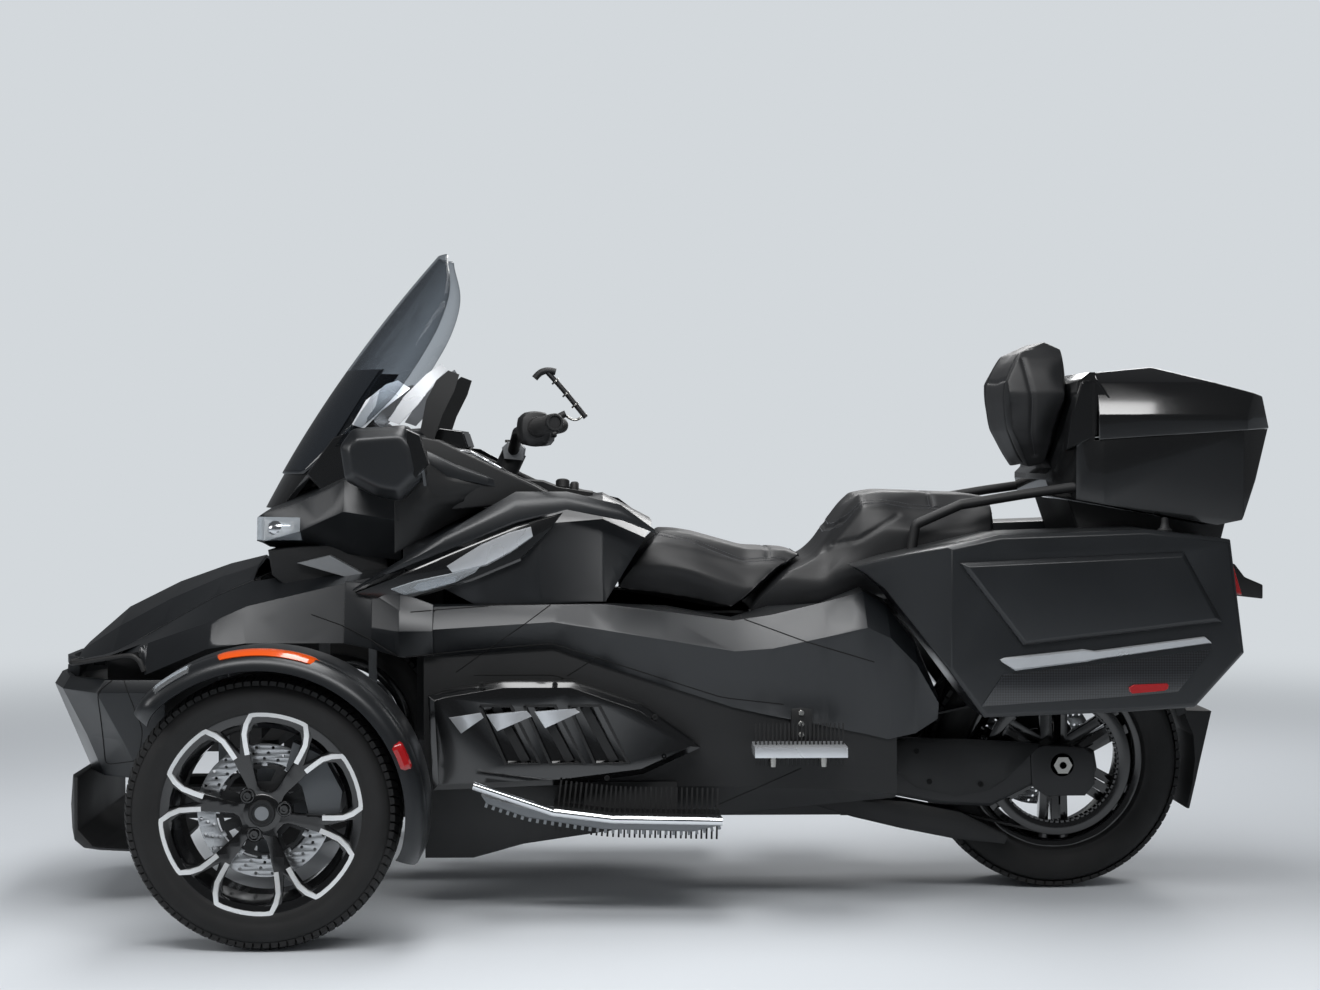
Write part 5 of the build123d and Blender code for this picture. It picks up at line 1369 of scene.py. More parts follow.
vent_low = [
    (0.4643, 0.343, 0.7361), (0.3907, 0.345, 0.7514), (0.3389, 0.345, 0.7794), (0.2913, 0.344, 0.814),
]
vent_plate = side_panel("bright_vent_plate", vent_top, vent_low, 0.0015, 0.008, satin_chrome)
light_top = [
    (0.5985, 0.3415, 0.7014), (0.5464, 0.3435, 0.7188), (0.4729, 0.3445, 0.734), (0.4037, 0.344, 0.7513),
]
light_low = [
    (0.5682, 0.3415, 0.6885), (0.5205, 0.3435, 0.6972), (0.4599, 0.3445, 0.7146), (0.4167, 0.344, 0.7362),
]
light_strip = side_panel("light_strip_lens", light_top, light_low, 0.002, 0.008, lens_glass)
bed_top, bed_low = [[(x, y - 0.004, z) for x, y, z in row] for row in (light_top, light_low)]
light_bed = side_panel("light_strip_bed", bed_top, bed_low, 0.0005, 0.006, lamp_silver)
upper_panels = join([upper_blade, black_strip, vent_plate, light_bed, light_strip], "upper_panels_left")
fit_pair(upper_panels, "chassis")

# Panel joints and shoulder panels: the side of the body is clipped together from several mouldings that leave
# 2 mm shadow gaps. A shoulder panel on each side bridges the front flank and the side fairing.


def round_bar(tree, given):
    """A round profile swept along each path, its ends closed."""
    profile = add_node(
        tree, "GeometryNodeCurvePrimitiveCircle", {"Resolution": given["Sides"], "Radius": given["Radius"]}
    )
    swept = {"Curve": given["Geometry"], "Profile Curve": profile.outputs[0], "Fill Caps": True}
    return add_node(tree, "GeometryNodeCurveToMesh", swept)


def along_path(name, paths, radius, material, sides=8):
    """A round bar that follows each path, made one mesh with its faces outward."""
    inputs = [("Radius", "Float", radius), ("Sides", "Int", sides), ("Finish", "Material", material)]
    bar = made_by_nodes(name, drawn_paths(name, paths), inputs, round_bar, 45)
    with opened(bar.data) as shell:
        bmesh.ops.recalc_face_normals(shell, faces=shell.faces)
    return bar


def panel_shell(name, rows, thickness, material):
    """Panel through rows of (x, y, z) points, its back set in towards the middle by the thickness."""
    across = len(rows[0])
    face = [Vector(point) for row in rows for point in row]
    points = face + [point - Vector((0, thickness, 0)) for point in face]
    size = len(face)
    faces = []
    for i in range(len(rows) - 1):
        for j in range(across - 1):
            a, b = i * across + j, i * across + j + 1
            c, d = b + across, a + across
            faces += [(a, b, c, d), (size + d, size + c, size + b, size + a)]
    rim = list(range(across))
    rim += [i * across + across - 1 for i in range(1, len(rows))]
    rim += [(len(rows) - 1) * across + j for j in range(across - 2, -1, -1)]
    rim += [i * across for i in range(len(rows) - 2, 0, -1)]
    faces += [(a, size + a, size + b, b) for a, b in zip(rim, rim[1:] + rim[:1])]
    return mesh_piece(name, points, faces, material, 60)


def skin_panel(name, rows, thickness, material):
    """Panel subdivided smooth. The edges of its back stay creased, so that its rim keeps its line."""
    piece = panel_shell(name, rows, thickness, material)
    size = len(rows) * len(rows[0])
    creases = piece.data.attributes.new("crease_edge", "FLOAT", "EDGE")
    for edge in piece.data.edges:
        creases.data[edge.index].value = 1.0 if max(edge.vertices) >= size else 0.0
    finer = piece.modifiers.new("finer", "SUBSURF")
    finer.levels = 2
    finer.render_levels = 2
    return piece


def crisp_panel(name, rows, thickness, material, radius=0.0025):
    """Panel with flat facets, every character line rounded to one radius."""
    panel = panel_shell(name, rows, thickness, material)
    with opened(panel.data) as shell:
        lines = [
            edge for edge in shell.edges if len(
                edge.link_faces
            ) == 2 and edge.calc_face_angle(0) > radians(12)
        ]
        round_edges(shell, lines, radius)
    shaded(panel.data, 24)
    return panel


shoulder_rows = [
    [(0.700, 0.304, 0.716), (0.640, 0.314, 0.712), (0.578, 0.336, 0.694), (0.505, 0.353, 0.668)],
    [(0.700, 0.311, 0.692), (0.640, 0.323, 0.690), (0.578, 0.362, 0.656), (0.505, 0.366, 0.648)],
    [(0.700, 0.331, 0.620), (0.640, 0.340, 0.618), (0.578, 0.381, 0.612), (0.505, 0.3825, 0.612)],
    [(0.700, 0.340, 0.584), (0.640, 0.342, 0.572), (0.578, 0.345, 0.554), (0.505, 0.344, 0.556)],
]
shoulder_left = crisp_panel("shoulder_panel_left", shoulder_rows, 0.004, graphite_paint, 0.008)
fit_pair(shoulder_left, "chassis")
# Shadow in a joint: black and matt
gap_shadow = finish("joint_shadow", ("#020203", "#040405"), (0.8, 0.9), 0.001, 0.0001)
PANEL_JOINTS = [
    # (x, z) places along the left side, dropped on the panels from outside
    [(0.5538, 0.653), (0.231, 0.6769), (0.1465, 0.6769), (-0.1201, 0.6335)],
    [(0.2435, 0.6746), (0.3852, 0.572), (0.4583, 0.5204)],
    [
        (0.5658, 0.5548), (0.3852, 0.572), (0.2498, 0.5828), (0.1552, 0.5527), (-0.1179, 0.4645),
        (-0.2512, 0.4495),
    ],
    [(0.4196, 0.514), (0.2455, 0.514), (0.1186, 0.4645)],
    [(0.1552, 0.5505), (0.2175, 0.5118)],
    [(-0.1386, 0.6429), (-0.2908, 0.5905), (-0.446, 0.5431)],
    [(-0.1028, 0.2217), (-0.1981, 0.2672), (-0.2913, 0.3084)],
    [
        (1.1782, 0.5208), (1.228, 0.4808), (1.231, 0.3107), (1.1459, 0.3293), (1.1329, 0.3963),
        (1.1782, 0.5208),
    ],
    [(0.7717, 0.6451), (0.6916, 0.617), (0.6354, 0.5888), (0.5835, 0.5564)],
]
side_points = []
side_faces = []
for panel in (
    nodes["side_fairings"], nodes["side_skirts"], nodes["nose"], nodes["front_flanks"], shoulder_left
):
    side_faces += [tuple(v + len(side_points) for v in face.vertices) for face in panel.data.polygons]
    side_points += [v.co for v in panel.data.vertices]
side_skin = BVHTree.FromPolygons(side_points, side_faces)
joints = []
for path in PANEL_JOINTS:
    joints.append(on_surface(side_skin, dense([(x, 0.9, z) for x, z in path], 0.006), inwards, 0.0002))
joint_paths = [path for path in joints + [flipped(path) for path in joints] if len(path) > 1]
fit_on(along_path("panel_joints", joint_paths, 0.0012, gap_shadow, 6), "chassis")
# Rubber edging pressed over the flanks' free front edge, which is the upper lip of the nose slot
flank_edge = [
    (1.130, 0.333, 0.524), (1.142, 0.331, 0.562), (1.225, 0.321, 0.549), (1.298, 0.294, 0.536),
    (1.302, 0.250, 0.539), (1.303, 0.200, 0.536),
]
edging_paths = [dense(row, 0.01) for row in (flank_edge, flipped(flank_edge))]
fit_on(along_path("flank_edging", edging_paths, 0.0055, soft_rubber, 10), "chassis")

# Louvred vent covers: gloss black mouldings with a raised rim round each slot, bright wedges above and vanes
# set in behind. Five screws hold each cover to the fairing.


def facing_left(tree, given):
    """The unit on each point, its z turned to the vehicle's left."""
    return placed_copies(tree, given["Geometry"], given["Unit"], given["Turn"])


def fixed_at(name, unit, places, material):
    """One unit at each place on the left side, facing outwards, made one mesh."""
    spots = bpy.data.meshes.new(name)
    spots.from_pydata([tuple(place) for place in places], [], [])
    turn = (radians(-90), 0.0, 0.0)
    inputs = [("Unit", "Object", unit), ("Turn", "Vector", turn), ("Finish", "Material", material)]
    return made_by_nodes(name, spots, inputs, facing_left)


VENT_FACE = 0.388
vent_parts = []
for wedge in (
    [(0.47, 0.4282), (0.4014, 0.4389), (0.395, 0.4282), (0.4443, 0.3939)],
    [(0.3907, 0.4346), (0.3029, 0.4432), (0.2922, 0.4303), (0.3672, 0.3982)],
    [(0.2879, 0.441), (0.2001, 0.4475), (0.1894, 0.4389), (0.2644, 0.4046)],
):
    vent_parts.append(
        trim_bar("vent_wedge", wedge, VENT_FACE - 0.004, VENT_FACE + 0.0035, 0.002, satin_chrome)
    )
for x in (0.150, 0.245, 0.340):
    slot = [
        (x + 0.064, 0.453), (x - 0.002, 0.453), (x - 0.066, 0.327), (x + 0.008, 0.327), (x + 0.064, 0.453)
    ]
    vent_parts.append(
        stripe("vent_rim", slot, 0.007, VENT_FACE - 0.006, VENT_FACE + 0.003, (0, 0, 0), black_abs)
    )
    vane = [(x + 0.030, 0.449), (x - 0.034, 0.331)]
    vent_parts.append(
        stripe("vent_vane", vane, 0.022, VENT_FACE - 0.030, VENT_FACE - 0.013, (0, 0, 0), black_abs)
    )
screw = bolt_unit("screw_unit", 0.0062, 0.0035, 0.0026)
screw_places = [
    (0.3995, 0.3865, 0.4985), (0.243, 0.3865, 0.4985), (0.0287, 0.3855, 0.4277), (0.0094, 0.3845, 0.3439),
    (0.1316, 0.385, 0.2968),
]
vent_screws = fixed_at("vent_screws", screw, screw_places, gap_shadow)
fit_pair(join([*vent_parts, vent_screws], "vent_trim_left"), "chassis")

# Floorboards and pegs: black ribbed boards on cast toothed brackets, with a chromed guard tube along the
# outer edge. The passenger's pegs hang on bolted plates and carry rubber ribs.


def small_block(name, outline, half, material):
    """Block with the same (x, y) outline at both ends, z = -half and half."""
    return lofted(name, [[(x, y, z) for x, y in outline] for z in (-half, half)], material)


def rubber_rib(name, half_length, half_width):
    """One moulded rib across a board or a peg, narrower at its top."""
    top = half_length - 0.001
    outline = [(0.002, -half_length), (0.002, half_length), (-0.002, top), (-0.002, -top)]
    return small_block(name, outline, half_width, soft_rubber)


board = softened("footrests", 0.002, black_abs, sharp=30)
board.data.materials.append(chrome)
board.data.materials.append(satin_chrome)
for face in board.data.polygons:
    middle = face.center
    if abs(middle.y) > 0.4595 and middle.x > -0.13:
        face.material_index = 1
    elif middle.x < -0.17 and abs(middle.y) > 0.374:
        face.material_index = 2
bracket_top = [(0.3984, 0.2724), (0.3096, 0.247), (0.1403, 0.2237), (-0.0501, 0.211), (-0.1136, 0.2174)]
bracket_low = [(0.3857, 0.2533), (0.3011, 0.2237), (0.1403, 0.1983), (-0.0501, 0.192), (-0.1051, 0.2047)]
bracket = slat("board_bracket", (bracket_top, bracket_low), 0.40, 0.458, 0.004, cast_alloy)
tooth = small_block(
    "tooth_unit", [(-0.006, -0.010), (0.006, -0.010), (0.004, 0.010), (-0.004, 0.010)], 0.003, cast_alloy
)
rib = rubber_rib("rib_unit", 0.055, 0.002)
peg_rib = rubber_rib("peg_rib_unit", 0.045, 0.0016)
step_parts = [bracket]
for name, path, unit, pitch, material in (
    ("bracket_teeth", [(x, 0.448, z + 0.001) for x, z in bracket_low], tooth, 0.016, cast_alloy),
    (
        "board_ribs", [(0.236, 0.395, 0.240), (0.119, 0.395, 0.2260), (-0.105, 0.395, 0.2210)], rib, 0.011,
        soft_rubber,
    ),
    ("peg_ribs", [(-0.186, 0.419, 0.3730), (-0.373, 0.419, 0.3730)], peg_rib, 0.0085, soft_rubber),
):
    step_parts.append(stitched(name, [dense(path, 0.01)], unit, pitch, material))
hanger_top = [(-0.2692, 0.4433), (-0.2909, 0.4498), (-0.3126, 0.4433)]
hanger_low = [(-0.2671, 0.3676), (-0.2909, 0.3589), (-0.3147, 0.3676)]
step_parts.append(slat("peg_hanger", (hanger_top, hanger_low), 0.325, 0.345, 0.004, black_abs))
peg_bolt_places = [(-0.2899, 0.346, z) for z in (0.4316, 0.4079, 0.3841)]
step_parts.append(fixed_at("peg_bolts", screw, peg_bolt_places, bare_steel))
for x in (-0.222, -0.330):
    stud = turned(
        "peg_stud", [(0.0, -0.014), (0.007, -0.014), (0.008, 0.0), (0.008, 0.012), (0.0, 0.012)],
        (0, 0, 0), 16, bare_steel,
    )
    step_parts.append(set_at(stud, (x, 0.430, 0.340), 90))
fit_on(board, "chassis", ["footrests"])
fit_pair(join(step_parts, "step_trim_left"), "chassis")
for unit in (tooth, rib, peg_rib):
    bpy.data.objects.remove(unit)

# Rear wheel: cast rim with six pairs of bars, gloss black, with the toothed pulley of the drive belt on its
# left side and a drilled brake disc on its right.
rear_axle_place = (-0.891, 0.0, 0.294)
rear_cast = softened("rear_wheel", 0.0028, wheel_black, sharp=22, smooth=30)
pulley_tooth = small_block(
    "pulley_tooth_unit", [(-0.003, -0.0042), (0.0042, -0.0026), (0.0042, 0.0026), (-0.003, 0.0042)], 0.0105,
    wheel_black,
)
pulley_place = axle_place((rear_axle_place[0], 0.121, rear_axle_place[2]))
pulley_teeth = repeat_round("pulley_teeth", pulley_tooth, 72, 0.1385, 0.0, wheel_black, pulley_place)
pulley_ring = turned(
    "pulley_ring",
    [(0.1655, 0.131), (0.1655, 0.1335), (0.158, 0.1345), (0.146, 0.1345), (0.1405, 0.1325), (0.1405, 0.131)],
    rear_axle_place, 96, wheel_black,
)
rear_dressed = join([rear_cast, pulley_teeth, pulley_ring], "rear_wheel_cast")
fit_on(rear_dressed, "rear_wheel", ["rear_wheel"])
bpy.data.objects.remove(pulley_tooth)
rear_disc_place = (-0.891, -0.118, 0.294)
rear_hub_ring = [circle(0.094, 48), circle(0.0445, 40)]
rear_ring = cut_plate("rear_ring", drilled, rear_disc_place, 0.0, 0.006, 0.0004, ground_steel)
rear_carrier = cut_plate("rear_carrier", rear_hub_ring, rear_disc_place, 0.0, 0.005, 0.0005, powder_coat)
rear_disc = join([rear_ring, rear_carrier] + disc_tabs(rear_disc_place, -0.0005), "rear_disc_drilled")
fit_on(rear_disc, "rear_wheel", ["rear_disc"])

# Swing arm covers: black mouldings bolted to the arm's outer face, a powder-coated plate over the axle with a
# steel washer, and the belt guard below.
arm_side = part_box("swing_arm")[1][1]
cover_top = [(-0.5132, 0.3466), (-0.551, 0.3555), (-0.6624, 0.3533), (-0.785, 0.3466), (-0.8407, 0.3399)]
cover_low = [(-0.5198, 0.2753), (-0.5622, 0.2441), (-0.6513, 0.2241), (-0.7248, 0.2374), (-0.7582, 0.2575)]
arm_cover = slat("arm_cover", (cover_top, cover_low), arm_side - 0.006, arm_side + 0.010, 0.006, black_abs)
end_plate = trim_bar(
    "arm_end_plate",
    [
        (-0.8184, 0.3266), (-0.8496, 0.3377), (-0.9387, 0.3332), (-0.9632, 0.3154), (-0.9654, 0.2508),
        (-0.9432, 0.2241), (-0.854, 0.2241), (-0.8229, 0.2463),
    ],
    arm_side - 0.004, arm_side + 0.004, 0.003, powder_coat,
)
guard_top = [(-0.3145, 0.2232), (-0.4196, 0.2188), (-0.5426, 0.2098), (-0.6656, 0.1852), (-0.773, 0.1315)]
guard_low = [(-0.3346, 0.2031), (-0.4196, 0.1763), (-0.5314, 0.1494), (-0.6544, 0.1248), (-0.764, 0.1136)]
belt_guard = slat("belt_guard", (guard_top, guard_low), 0.110, 0.172, 0.004, black_abs)
arm_bolt_places = [(-0.5906, 0.1935, 0.258), (-0.7064, 0.1935, 0.2513), (-0.5617, 0.1935, 0.327)]
arm_bolts = fixed_at("arm_bolts", screw, arm_bolt_places, gap_shadow)
axle_washer = turned(
    "axle_washer",
    [
        (0.0, arm_side + 0.004), (0.026, arm_side + 0.004), (0.027, arm_side + 0.002), (0.027, arm_side),
        (0.0, arm_side),
    ],
    rear_axle_place, 40, bare_steel,
)
arm_trim = join([arm_cover, end_plate, belt_guard, arm_bolts, axle_washer], "swing_arm_covers")
fit_on(arm_trim, "chassis")

# Tail lamps: red acrylic lenses, one let into the rear corner of each side case. Their moulded edges are
# rounded by 4 mm.
lamp_outer = [
    (-1.2060, 0.4300, 0.7660), (-1.2060, 0.3000, 0.7660), (-1.2290, 0.3000, 0.6900), (-1.2290, 0.4300, 0.6900)
]
lamp_inner = [(x + 0.022, y, z + 0.004) for x, y, z in lamp_outer]
tail_left = lofted("tail_lamp_left", [lamp_outer, lamp_inner], red_lens)
rounded = tail_left.modifiers.new("rounded", "BEVEL")
rounded.width = 0.004
rounded.segments = 3
fit_pair(tail_left, "chassis")
bpy.data.objects.remove(screw)

# Dash and its speaker pods: a moulded housing between the mirrors. Each pod carries a pressed speaker mesh, a
# row of slots and a satin strip, and a black side panel closes the space between pod, cowl and tank.
dash_core = softened("dash", 0.004, black_abs)
POD_IN_Y = 0.236
for vertex in dash_core.data.vertices:
    vertex.co.y = max(-POD_IN_Y, min(POD_IN_Y, vertex.co.y))
# Rows run from the top down, each from the front to the back
pod_rows = [
    [
        (0.5331, 0.262, 1.0216), (0.4919, 0.254, 1.0084), (0.433, 0.244, 1.0018), (0.3647, 0.242, 0.9643),
        (0.3206, 0.242, 0.9367), (0.3027, 0.25, 0.9247),
    ],
    [
        (0.5229, 0.29, 0.9953), (0.4895, 0.29, 0.98), (0.4567, 0.29, 0.9637), (0.3912, 0.288, 0.9418),
        (0.3348, 0.276, 0.9263), (0.298, 0.262, 0.9214),
    ],
    [
        (0.5211, 0.296, 0.9735), (0.4879, 0.294, 0.9443), (0.4456, 0.293, 0.9353), (0.3911, 0.29, 0.9243),
        (0.3382, 0.274, 0.9133), (0.3068, 0.262, 0.9179),
    ],
]
side_rows = [
    [
        (0.5894, 0.346, 0.9567), (0.52, 0.32, 0.9737), (0.4779, 0.3, 0.943), (0.4239, 0.29, 0.9309),
        (0.3696, 0.284, 0.9198), (0.3113, 0.258, 0.9161),
    ],
    [
        (0.5891, 0.35, 0.8704), (0.5193, 0.33, 0.8915), (0.4775, 0.306, 0.8887), (0.4245, 0.28, 0.8902),
        (0.3705, 0.262, 0.903), (0.3093, 0.25, 0.9137),
    ],
    [
        (0.5897, 0.343, 0.7772), (0.5211, 0.306, 0.8146), (0.4803, 0.262, 0.8371), (0.427, 0.232, 0.8625),
        (0.3725, 0.216, 0.8864), (0.3074, 0.24, 0.9102),
    ],
]
pod_left = crisp_panel("pod_left", pod_rows, 0.006, graphite_paint)
pod_right = other_side(pod_left)
pod_skin = skin_of(pod_left)
fit_on(join([dash_core, pod_left, pod_right], "dash_with_pods"), "chassis", ["dash"])
fit_pair(skin_panel("cowl_side_left", side_rows, 0.004, black_abs), "chassis")

# Speaker mesh: perforated sheet steel, pressed into each pod. Its holes are dimples on the pod's slope,
# painted black as painted shade inside the holes, each with a pale rim of the sheet's steel. A row of slots,
# also painted black as shade, and two satin strips lie beside it.
MESH_CORNERS = [(0.4629, 0.9974), (0.4321, 0.9974), (0.3662, 0.9601), (0.3816, 0.9491), (0.4343, 0.9666)]
HOLE_PITCH = 0.0052


def within(point, corners):
    """True where a side-view point lies inside the outline."""
    inside = False
    for (xa, za), (xb, zb) in zip(corners, corners[1:] + corners[:1]):
        if (za > point[1]) != (zb > point[1]) and point[0] < (xb - xa) * (point[1] - za) / (zb - za) + xa:
            inside = not inside
    return inside


hole_places = []
low_x, high_x = min(x for x, z in MESH_CORNERS), max(x for x, z in MESH_CORNERS)
low_z, high_z = min(z for x, z in MESH_CORNERS), max(z for x, z in MESH_CORNERS)
for row in range(int((high_z - low_z) / HOLE_PITCH * 1.16) + 1):
    for column in range(int((high_x - low_x) / HOLE_PITCH) + 1):
        spot = (low_x + (column + 0.5 * (row % 2)) * HOLE_PITCH, low_z + row * HOLE_PITCH * 0.866)
        if within(spot, MESH_CORNERS):
            hole_places.append((spot[0], 0.9, spot[1]))
dimples = on_surface(pod_skin, hole_places, inwards, 0.0002)
# The black dimples are painted shade inside the holes; the pale rims are the steel of the sheet
mesh_parts = []
for name, profile, material in (
    ("speaker_mesh_left", [(0.0, 0.0), (0.0017, 0.0), (0.0019, -0.0006), (0.0, -0.0006)], gap_shadow),
    (
        "speaker_rims_left", [(0.0017, 0.0), (0.0027, 0.0), (0.0027, -0.0006), (0.0017, -0.0006)],
        caliper_paint,
    ),
):
    unit = turned(name + "_unit", profile, (0, 0, 0), 6, material)
    mesh_parts.append(fixed_at(name, unit, dimples, material))
    bpy.data.objects.remove(unit)
SLOTS = 7
FIRST_SLOT = Vector((0.3728, 0.9, 0.9546))
LAST_SLOT = Vector((0.3266, 0.9, 0.9348))
SLOT_RUN = Vector((0.0120, 0.0, -0.0115))
slot_lines = []
for i in range(SLOTS):
    top = FIRST_SLOT.lerp(LAST_SLOT, i / (SLOTS - 1))
    slot_lines.append(on_surface(pod_skin, dense([top, top + SLOT_RUN], 0.004), inwards, 0.0))
# The slots are thin black bars: painted shade inside them
mesh_parts.append(along_path("speaker_slots_left", slot_lines, 0.0022, gap_shadow, 6))
for name, ends, lift, radius, sides in (
    ("pod_strips_left", [(0.4305, 0.9, 0.9963), (0.3644, 0.9, 0.9599)], 0.001, 0.0030, 8),
    ("pod_thin_strip_left", [(0.4899, 0.9, 1.004), (0.4349, 0.9, 0.9974)], 0.0, 0.0012, 6),
):
    line = on_surface(pod_skin, dense(ends, 0.004), inwards, lift)
    mesh_parts.append(along_path(name, [line], radius, satin_chrome, sides))
fit_pair(join(mesh_parts, "pod_trim_left"), "chassis")

# Instrument display: one moulded gloss-black hood on the dash. Its flat glass is bonded in and faces the
# rider.
HOOD_HALF = 0.135
hood = trim_bar(
    "instrument_hood",
    [(0.5318, 1.0219), (0.5064, 1.0497), (0.4556, 1.0427), (0.4441, 1.0058), (0.481, 0.9803)],
    -HOOD_HALF, HOOD_HALF, 0.004, gloss_black,
)
screen_glass = finish(
    "bonded_display_glass", ("#07090c", "#0a0d11"), (0.03, 0.05), 0.01, 0.000005, Coat_Weight=1.0
)
screen = trim_bar(
    "instrument_screen",
    [(0.4552, 1.0381), (0.4519, 1.0381), (0.4418, 1.0081), (0.445, 1.0058)],
    0.012 - HOOD_HALF, HOOD_HALF - 0.012, 0.0006, screen_glass,
)
fit_on(join([hood, screen], "instrument_display"), "chassis")

# Console between dash and tank: a low moulded plate in black, clipped over the tank cover's front. It carries
# three rubber-capped switches.
console = trim_bar(
    "console",
    [
        (0.3286, 0.9341), (0.2777, 0.9295), (0.2408, 0.9157), (0.1622, 0.9041), (0.1622, 0.8903),
        (0.3286, 0.8903),
    ],
    -0.085, 0.085, 0.004, black_abs,
)
knobs = []
for x, y, z, radius in (
    (0.232, 0.0, 0.9220, 0.016), (0.205, 0.045, 0.9155, 0.010), (0.205, -0.045, 0.9155, 0.010)
):
    knob = turned(
        "console_knob",
        [(0.0, 0.010), (radius * 0.8, 0.010), (radius, 0.007), (radius, -0.010), (0.0, -0.010)],
        (0.0, 0.0, 0.0), 20, soft_rubber,
    )
    knobs.append(set_at(knob, (x, y, z), 105))
fit_on(join([console] + knobs, "console_with_switches"), "chassis")

# Handlebar controls: ribbed rubber sleeves with moulded end caps, and black switch housings with buttons on
# alloy collars. They are clamped to the bar and turn with it.
GRIP_FOOT = Vector((0.2828, 0.2905, 1.0511))
GRIP_WAY = Vector((-47.0, 150.0, 11.0)).normalized()
along_grip = Vector((0, 1, 0)).rotation_difference(GRIP_WAY).to_matrix().to_4x4()
ribs = [(0.0, 0.003)]
GRIP_RIBS = 30
for i in range(GRIP_RIBS):
    start = 0.005 + i * 0.0040
    ribs += [(0.0184, start), (0.0196, start + 0.0008), (0.0196, start + 0.0022), (0.0184, start + 0.0030)]
ribs += [(0.0184, 0.1285), (0.0, 0.1285)]
sleeve = turned("grip_sleeve", ribs, (0, 0, 0), 28, soft_rubber)
cap = turned(
    "grip_cap",
    [
        (0.0, 0.128), (0.0188, 0.128), (0.0192, 0.136), (0.0175, 0.1385), (0.0140, 0.1385), (0.0125, 0.133),
        (0.0, 0.133),
    ],
    (0, 0, 0), 32, black_abs,
)
flange = turned(
    "grip_flange", [(0.0, 0.0), (0.0215, 0.0), (0.0228, 0.003), (0.0215, 0.006), (0.0, 0.006)], (0, 0, 0), 32,
    soft_rubber,
)
grip_left = join([sleeve, cap, flange], "grip_left")
grip_left.data.transform(Matrix.Translation(GRIP_FOOT) @ along_grip)
fit_on(join([grip_left, other_side(grip_left)], "ribbed_grips"), "steering", ["grips"])
HOUSING = (
    # along the bar, half width fore and aft, low and high, in metres from the bar's middle
    (-0.078, 0.018, -0.018, 0.018),
    (-0.070, 0.027, -0.028, 0.030),
    (-0.046, 0.034, -0.038, 0.034),
    (-0.016, 0.036, -0.042, 0.036),
    (-0.006, 0.032, -0.034, 0.032),
    (-0.001, 0.022, -0.022, 0.022),
)
HOUSING_SIDES = 20
housing_rings = []
for along, half, low, high in HOUSING:
    ring = []
    for i in range(HOUSING_SIDES):
        angle = 2 * pi * i / HOUSING_SIDES
        square = max(abs(cos(angle)), abs(sin(angle))) ** -0.55
        up = sin(angle)
        ring.append((half * square * cos(angle), along, (high if up > 0 else -low) * square * up))
    housing_rings.append(ring)
controls = [lofted("switch_housing", housing_rings, black_abs, 40)]
for along, up, radius, colour in (
    (-0.022, 0.012, 0.0062, black_abs), (-0.040, 0.010, 0.0050, amber_lens),
    (-0.030, -0.012, 0.0075, black_abs),
):
    button = turned(
        "bar_button",
        [(0.0, 0.028), (radius, 0.028), (radius, 0.040), (radius * 0.75, 0.0425), (0.0, 0.0425)],
        (0, 0, 0), 16, colour,
    )
    controls.append(set_at(button, (0.0, along, up), 90, "Z"))
collar = turned(
    "housing_collar",
    [(0.0, -0.092), (0.0150, -0.092), (0.0190, -0.088), (0.0190, -0.072), (0.0, -0.072)],
    (0, 0, 0), 24, cast_alloy,
)
left_controls = join(controls + [collar], "bar_controls_left")
left_controls.data.transform(Matrix.Translation(GRIP_FOOT) @ along_grip)
fit_pair(left_controls, "steering")

# Riser clamp: a forged aluminium block over the column's head. Four cap screws pull it down on the bar.
clamp = trim_bar(
    "riser_clamp",
    [(0.322, 0.976), (0.318, 1.004), (0.330, 1.018), (0.356, 1.019), (0.370, 1.006), (0.366, 0.980)],
    -0.042, 0.042, 0.004, cast_alloy,
)
screws = []
for x in (0.330, 0.358):
    for y in (-0.026, 0.026):
        head = turned(
            "clamp_screw",
            [(0.0, 0.000), (0.0058, 0.000), (0.0058, 0.006), (0.0034, 0.0065), (0.0030, 0.003), (0.0, 0.003)],
            (0, 0, 0), 16, bare_steel,
        )
        screws.append(set_at(head, (x, y, 1.0175), 90))
fit_on(join([clamp] + screws, "riser_clamp_screwed"), "steering")

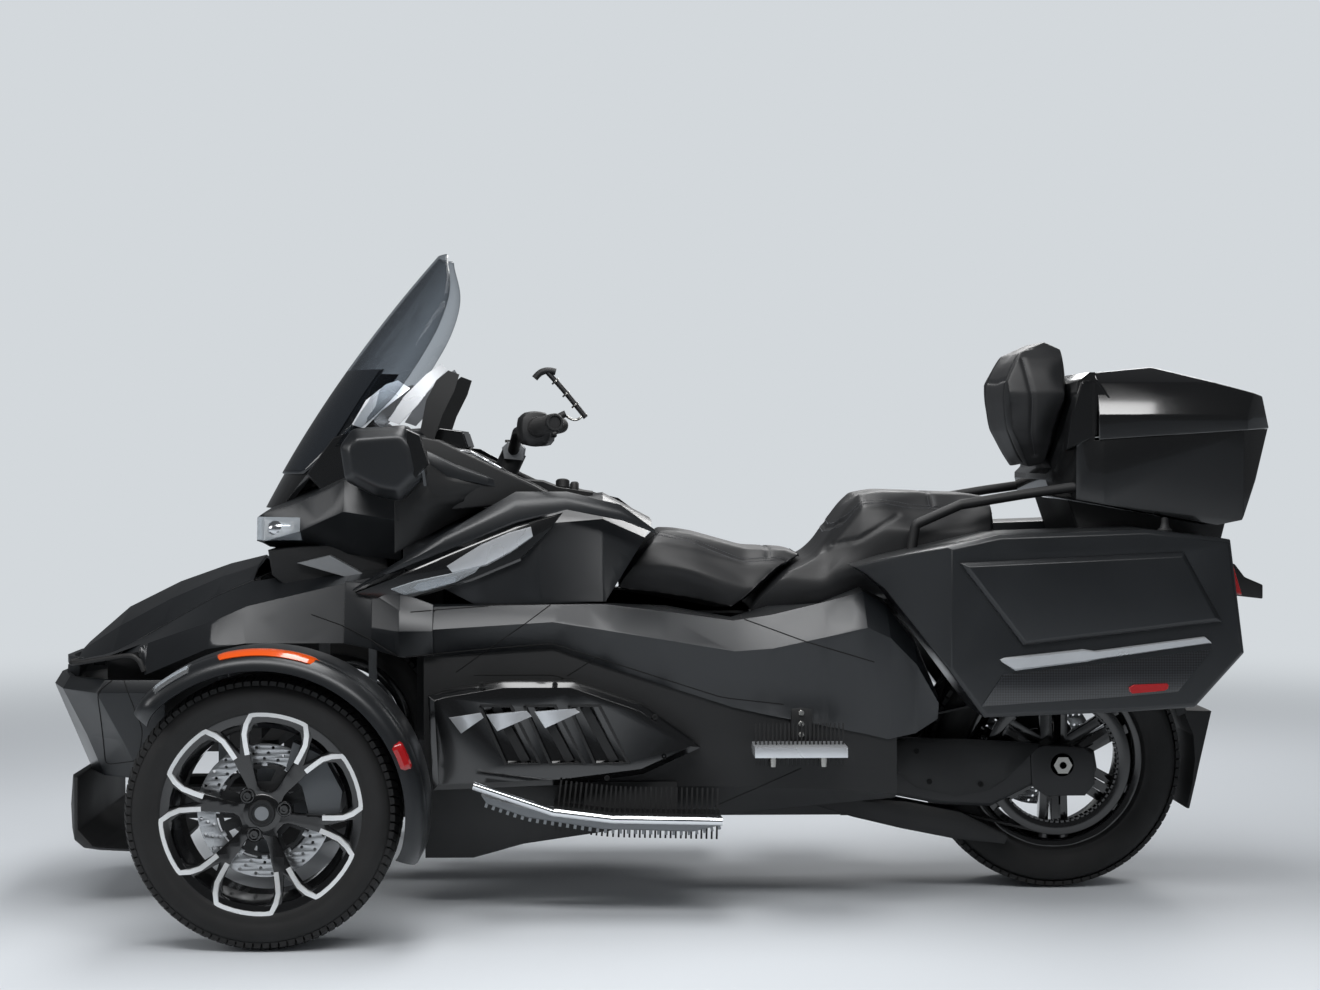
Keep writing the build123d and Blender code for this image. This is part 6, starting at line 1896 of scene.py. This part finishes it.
# Accessory arm: a slim powder-coated rod with three steel collars, a hooked foot and a padded claw at its
# top. A stalk and a clamp hold it on the right half of the bar.
arm_rod = [(0.1792, -0.17, 1.077), (0.2078, -0.17, 1.1127), (0.2388, -0.17, 1.1509), (0.2698, -0.17, 1.1842)]
arm_hook = [
    (0.2317, -0.17, 1.0841), (0.2102, -0.17, 1.0698), (0.1935, -0.17, 1.0722), (0.1816, -0.17, 1.0913),
    (0.1768, -0.17, 1.0817),
]
arm_claw = [
    (0.3008, -0.17, 1.1699), (0.2889, -0.17, 1.1842), (0.2698, -0.17, 1.1902), (0.2507, -0.17, 1.1854)
]
arm_parts = [
    along_path("arm_rod", [dense(arm_rod, 0.01)], 0.0062, powder_coat, 12),
    along_path("arm_hook", [dense(arm_hook, 0.004)], 0.0030, bare_steel, 8),
    along_path("arm_claw", [dense(arm_claw, 0.004)], 0.0080, black_abs, 12),
    along_path("arm_stalk", [[(0.3206, -0.17, 1.0422), (0.2269, -0.17, 1.0865)]], 0.0085, black_abs, 14),
    along_path("arm_clamp", [[(0.3253, -0.155, 1.0411), (0.3159, -0.185, 1.0433)]], 0.0185, black_abs, 16),
]
rod_foot = Vector(arm_rod[0])
rod_head = Vector(arm_rod[-1])
along_rod = Vector((0, 1, 0)).rotation_difference((rod_head - rod_foot).normalized()).to_matrix().to_4x4()
for share in (0.28, 0.52, 0.80):
    ring = turned(
        "arm_collar", [(0.005, -0.002), (0.0105, -0.002), (0.0105, 0.002), (0.005, 0.002)],
        (0, 0, 0), 20, bare_steel,
    )
    ring.data.transform(Matrix.Translation(rod_foot.lerp(rod_head, share)) @ along_rod)
    arm_parts.append(ring)
fit_on(join(arm_parts, "accessory_arm"), "steering")

# Inner mouldings: black plastic closes the space under the cowl, behind the windshield's foot and under the
# top case, where a rack carries it. Under the top case the black block also stands for the shade that falls
# between top case and side case: painted shade. A cast lamp wedge fills the corner below each headlamp.
neck = trim_bar(
    "cowl_neck",
    [
        (0.8767, 0.7811), (0.8017, 0.7899), (0.6428, 0.7966), (0.6119, 0.7569), (0.6119, 0.673),
        (0.8017, 0.673),
        (0.8679, 0.726),
    ],
    -0.24, 0.24, 0.008, black_abs,
)
shield_foot = trim_bar(
    "shield_foot",
    [
        (0.7979, 0.9461), (0.7378, 1.0283), (0.6467, 1.0617), (0.5933, 1.0217), (0.6022, 0.9372),
        (0.7667, 0.9127),
    ],
    -0.20, 0.20, 0.010, gloss_black,
)
# Black block for the rack, kept dark also as painted shade under the overhang of the top case
rack_and_shade = trim_bar(
    "top_case_rack",
    [(-0.900, 0.889), (-1.210, 0.834), (-1.255, 0.840), (-1.245, 0.800), (-0.930, 0.800)],
    -0.20, 0.20, 0.006, black_abs,
)
fit_on(join([neck, shield_foot, rack_and_shade], "inner_mouldings"), "chassis")
wedge_outline = [(0.8101, 0.7535), (0.7376, 0.771), (0.6629, 0.7293), (0.6805, 0.7161)]
wedge_left = trim_bar("lamp_wedge_left", wedge_outline, 0.236, 0.262, 0.004, cast_alloy)
fit_pair(wedge_left, "chassis")
